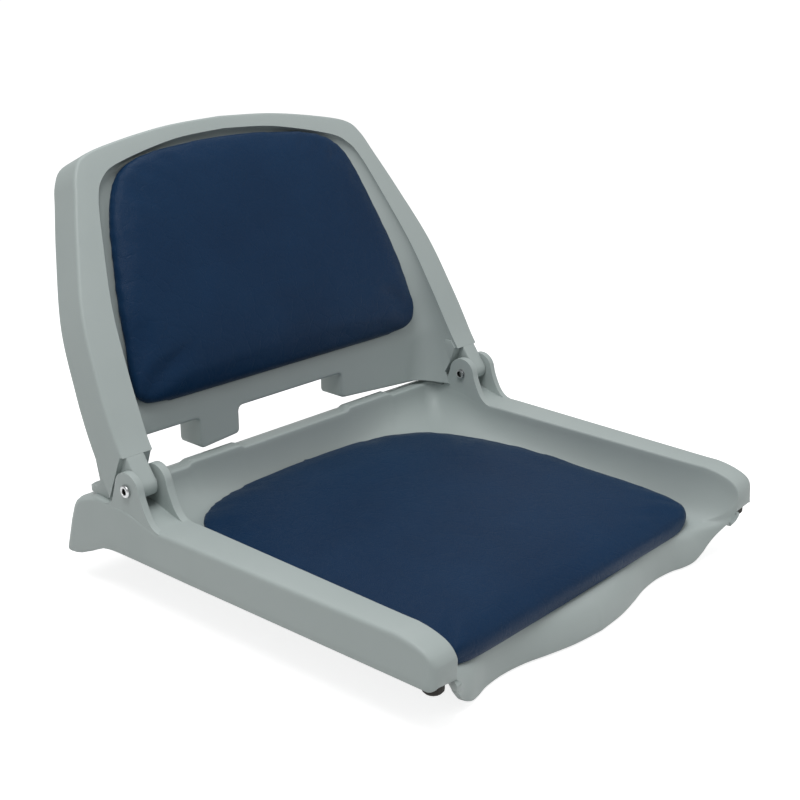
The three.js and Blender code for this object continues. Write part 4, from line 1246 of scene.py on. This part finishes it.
def marine_vinyl():
    """Navy vinyl with pebbles, creases and soft waves."""
    looks = new_looks("navy marine vinyl")
    wobble = {0: looks.noise(90, 3, 0.5, "Color"), 1: (0.006, 0.006, 0.006), 2: looks.places()}
    bent = looks.add("VectorMath", "Vector", wobble, operation="MULTIPLY_ADD")
    pebble = looks.spread(looks.cell_edges(bent, 620), 0, 1, 0.32)
    creases = looks.bump(looks.spread(looks.cell_edges(bent, 46), 0, 1, 0.05), 0.22, 0.0008)
    soft = looks.bump(looks.noise(30, 3), 0.2, 0.0012, creases)
    return looks.surface({
        "Base Color": looks.clouds(7, 3, (0.0036, 0.0235, 0.066), (0.0052, 0.031, 0.083), 0.72),
        "Roughness": looks.spread(pebble, 0.5, 0.38),
        "Normal": looks.bump(pebble, 0.5, 0.0003, soft),
        "Specular IOR Level": 0.14,
    })


def metal(name, dark, light, low, high):
    """Metal with a fine grain and uneven shine."""
    looks = new_looks(name)
    return looks.surface({
        "Base Color": looks.clouds(METAL_SCALE, 4, dark, light),
        "Roughness": looks.spread(looks.noise(METAL_SCALE * 4, 3), low, high),
        "Normal": looks.bump(looks.noise(METAL_SCALE * 8, 2), 0.1, 0.0001),
        "Metallic": 1.0,
    })


def dull(name, dark, light, scale, distance, rough):
    """A dull, slightly uneven surface."""
    looks = new_looks(name)
    return looks.surface({
        "Base Color": looks.clouds(scale, 5, dark, light),
        "Roughness": rough,
        "Normal": looks.bump(looks.noise(scale * 6, 3), 0.3, distance),
    })


METAL_SCALE = 300
plastic = moulded_plastic()
vinyl = marine_vinyl()
steel = metal("stainless steel", (0.5, 0.51, 0.52), (0.66, 0.67, 0.68), 0.24, 0.4)
# Painted shade: the rivet's bore is the same steel, coloured near-black for the shade deep inside it
bore_shade = metal("rivet bore shade", (0.02, 0.02, 0.02), (0.035, 0.034, 0.033), 0.5, 0.7)
brass = metal("brass", (0.38, 0.23, 0.05), (0.5, 0.31, 0.08), 0.3, 0.46)
# Partly painted shade: the bumper is black rubber, and its dark warm brown also stands in for the shade
# under the arm's front end
rubber_and_shade = dull("black rubber and painted shade", (0.02, 0.018, 0.015), (0.032, 0.029, 0.025), 200, 0.0003, 0.75)
board = dull("cushion board", (0.011, 0.011, 0.012), (0.018, 0.018, 0.019), 120, 0.0004, 0.7)


def paint(piece, material):
    """Gives a piece one material."""
    piece.data.materials.clear()
    piece.data.materials.append(material)


for piece in [seat_skin, ribs, *ears]:
    paint(piece, plastic)
    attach(piece, "base")
for piece in [back_skin, back_edge, *legs]:
    paint(piece, plastic)
    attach(piece, "backrest")
for piece, body in ((seat_cushion, "base"), (back_cushion, "backrest")):
    paint(piece, vinyl)
    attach(piece, body)
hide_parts("seat_shell")
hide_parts("back_shell")
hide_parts("seat_cushion_cover", "seat_cushion_foam")
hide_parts("back_cushion_cover", "back_cushion_foam")
for piece, label in zip(rivets, ("left", "right")):
    paint(piece, steel)
    piece.data.materials.append(bore_shade)
    # Faces within the bore's radius take the painted-shade steel
    for f in piece.data.polygons:
        off_axis = math.hypot(f.center.y / MM - PIN_Y, f.center.z / MM - PIN_Z)
        f.material_index = 1 if off_axis < RIVET_BORE else 0
    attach(piece, "base")
    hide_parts(f"hinge_rivet_{label}")
# The bumper's rubber also carries painted shade
NODE_LOOKS = {"bumper": rubber_and_shade, "insert": brass, "board": board}
for name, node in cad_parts.items():
    if node.hide_render:
        continue
    looks = [material for word, material in NODE_LOOKS.items() if word in name]
    paint(node, looks[0] if looks else steel)


# Floor, light and camera

deselect()
bpy.ops.mesh.primitive_plane_add(size=60, location=(0, 0, -0.0005))
floor = bpy.context.object
floor.name = "floor"

# The floor glows only where it is seen, so it stays white without lighting the seat from below
looks = new_looks("white floor")
paint(floor, looks.surface({
    "Base Color": (0.55, 0.55, 0.55, 1),
    "Roughness": 0.9,
    "Specular IOR Level": 0.1,
    "Emission Color": (1, 1, 1, 1),
    "Emission Strength": looks.spread(looks.seen_by("Is Glossy Ray"), 0, 0.82),
}))

looks = Looks(bpy.data.worlds.new("studio"))
bpy.context.scene.world = looks.owner
looks.fill(looks.nodes["Background"], {
    "Color": (1, 1, 1, 1),
    "Strength": looks.spread(looks.seen_by("Is Transmission Ray"), 0.38, 1.0),
})


def placed(name, data, place, aim):
    """An object at a place that looks along a direction."""
    made = bpy.data.objects.new(name, data)
    bpy.context.scene.collection.objects.link(made)
    made.location = place
    made.rotation_mode = "QUATERNION"
    made.rotation_quaternion = aim.to_track_quat("-Z", "Y")
    return made


# Lamps: name, place, target, size and power, with the key on the viewer's left
LAMPS = [
    ("key", (-0.85, -0.35, 2.3), (0, 0.05, 0.1), 1.3, 27),
    ("front", (1.2, -1.4, 1.5), (0, 0.05, 0.15), 1.6, 6),
    ("rear", (0.5, 1.1, 2.0), (0, 0.05, 0.1), 1.4, 8),
]
for name, place, target, size, power in LAMPS:
    data = bpy.data.lights.new(name, "AREA")
    data.shape = "DISK"
    data.size = size
    data.energy = power
    placed(name, data, place, Vector(target) - Vector(place))

# The camera as fitted to the photo: where it looks from, its target and distance in millimetres
AZIMUTH = math.radians(-47.43)
ELEVATION = math.radians(19.06)
TARGET = (-246.92, -177.91, 278.4)
DISTANCE = 925.8
LENS = 59.324

away = Vector((
    math.sin(AZIMUTH) * math.cos(ELEVATION), -math.cos(AZIMUTH) * math.cos(ELEVATION), math.sin(ELEVATION),
))
camera_data = bpy.data.cameras.new("camera")
camera_data.sensor_width = 36
camera_data.lens = LENS
camera_data.clip_start = 0.05
camera_data.clip_end = 50
camera = placed("camera", camera_data, (Vector(TARGET) + away * DISTANCE) * MM, -away)
bpy.context.scene.camera = camera
bpy.context.scene.view_settings.view_transform = "Standard"
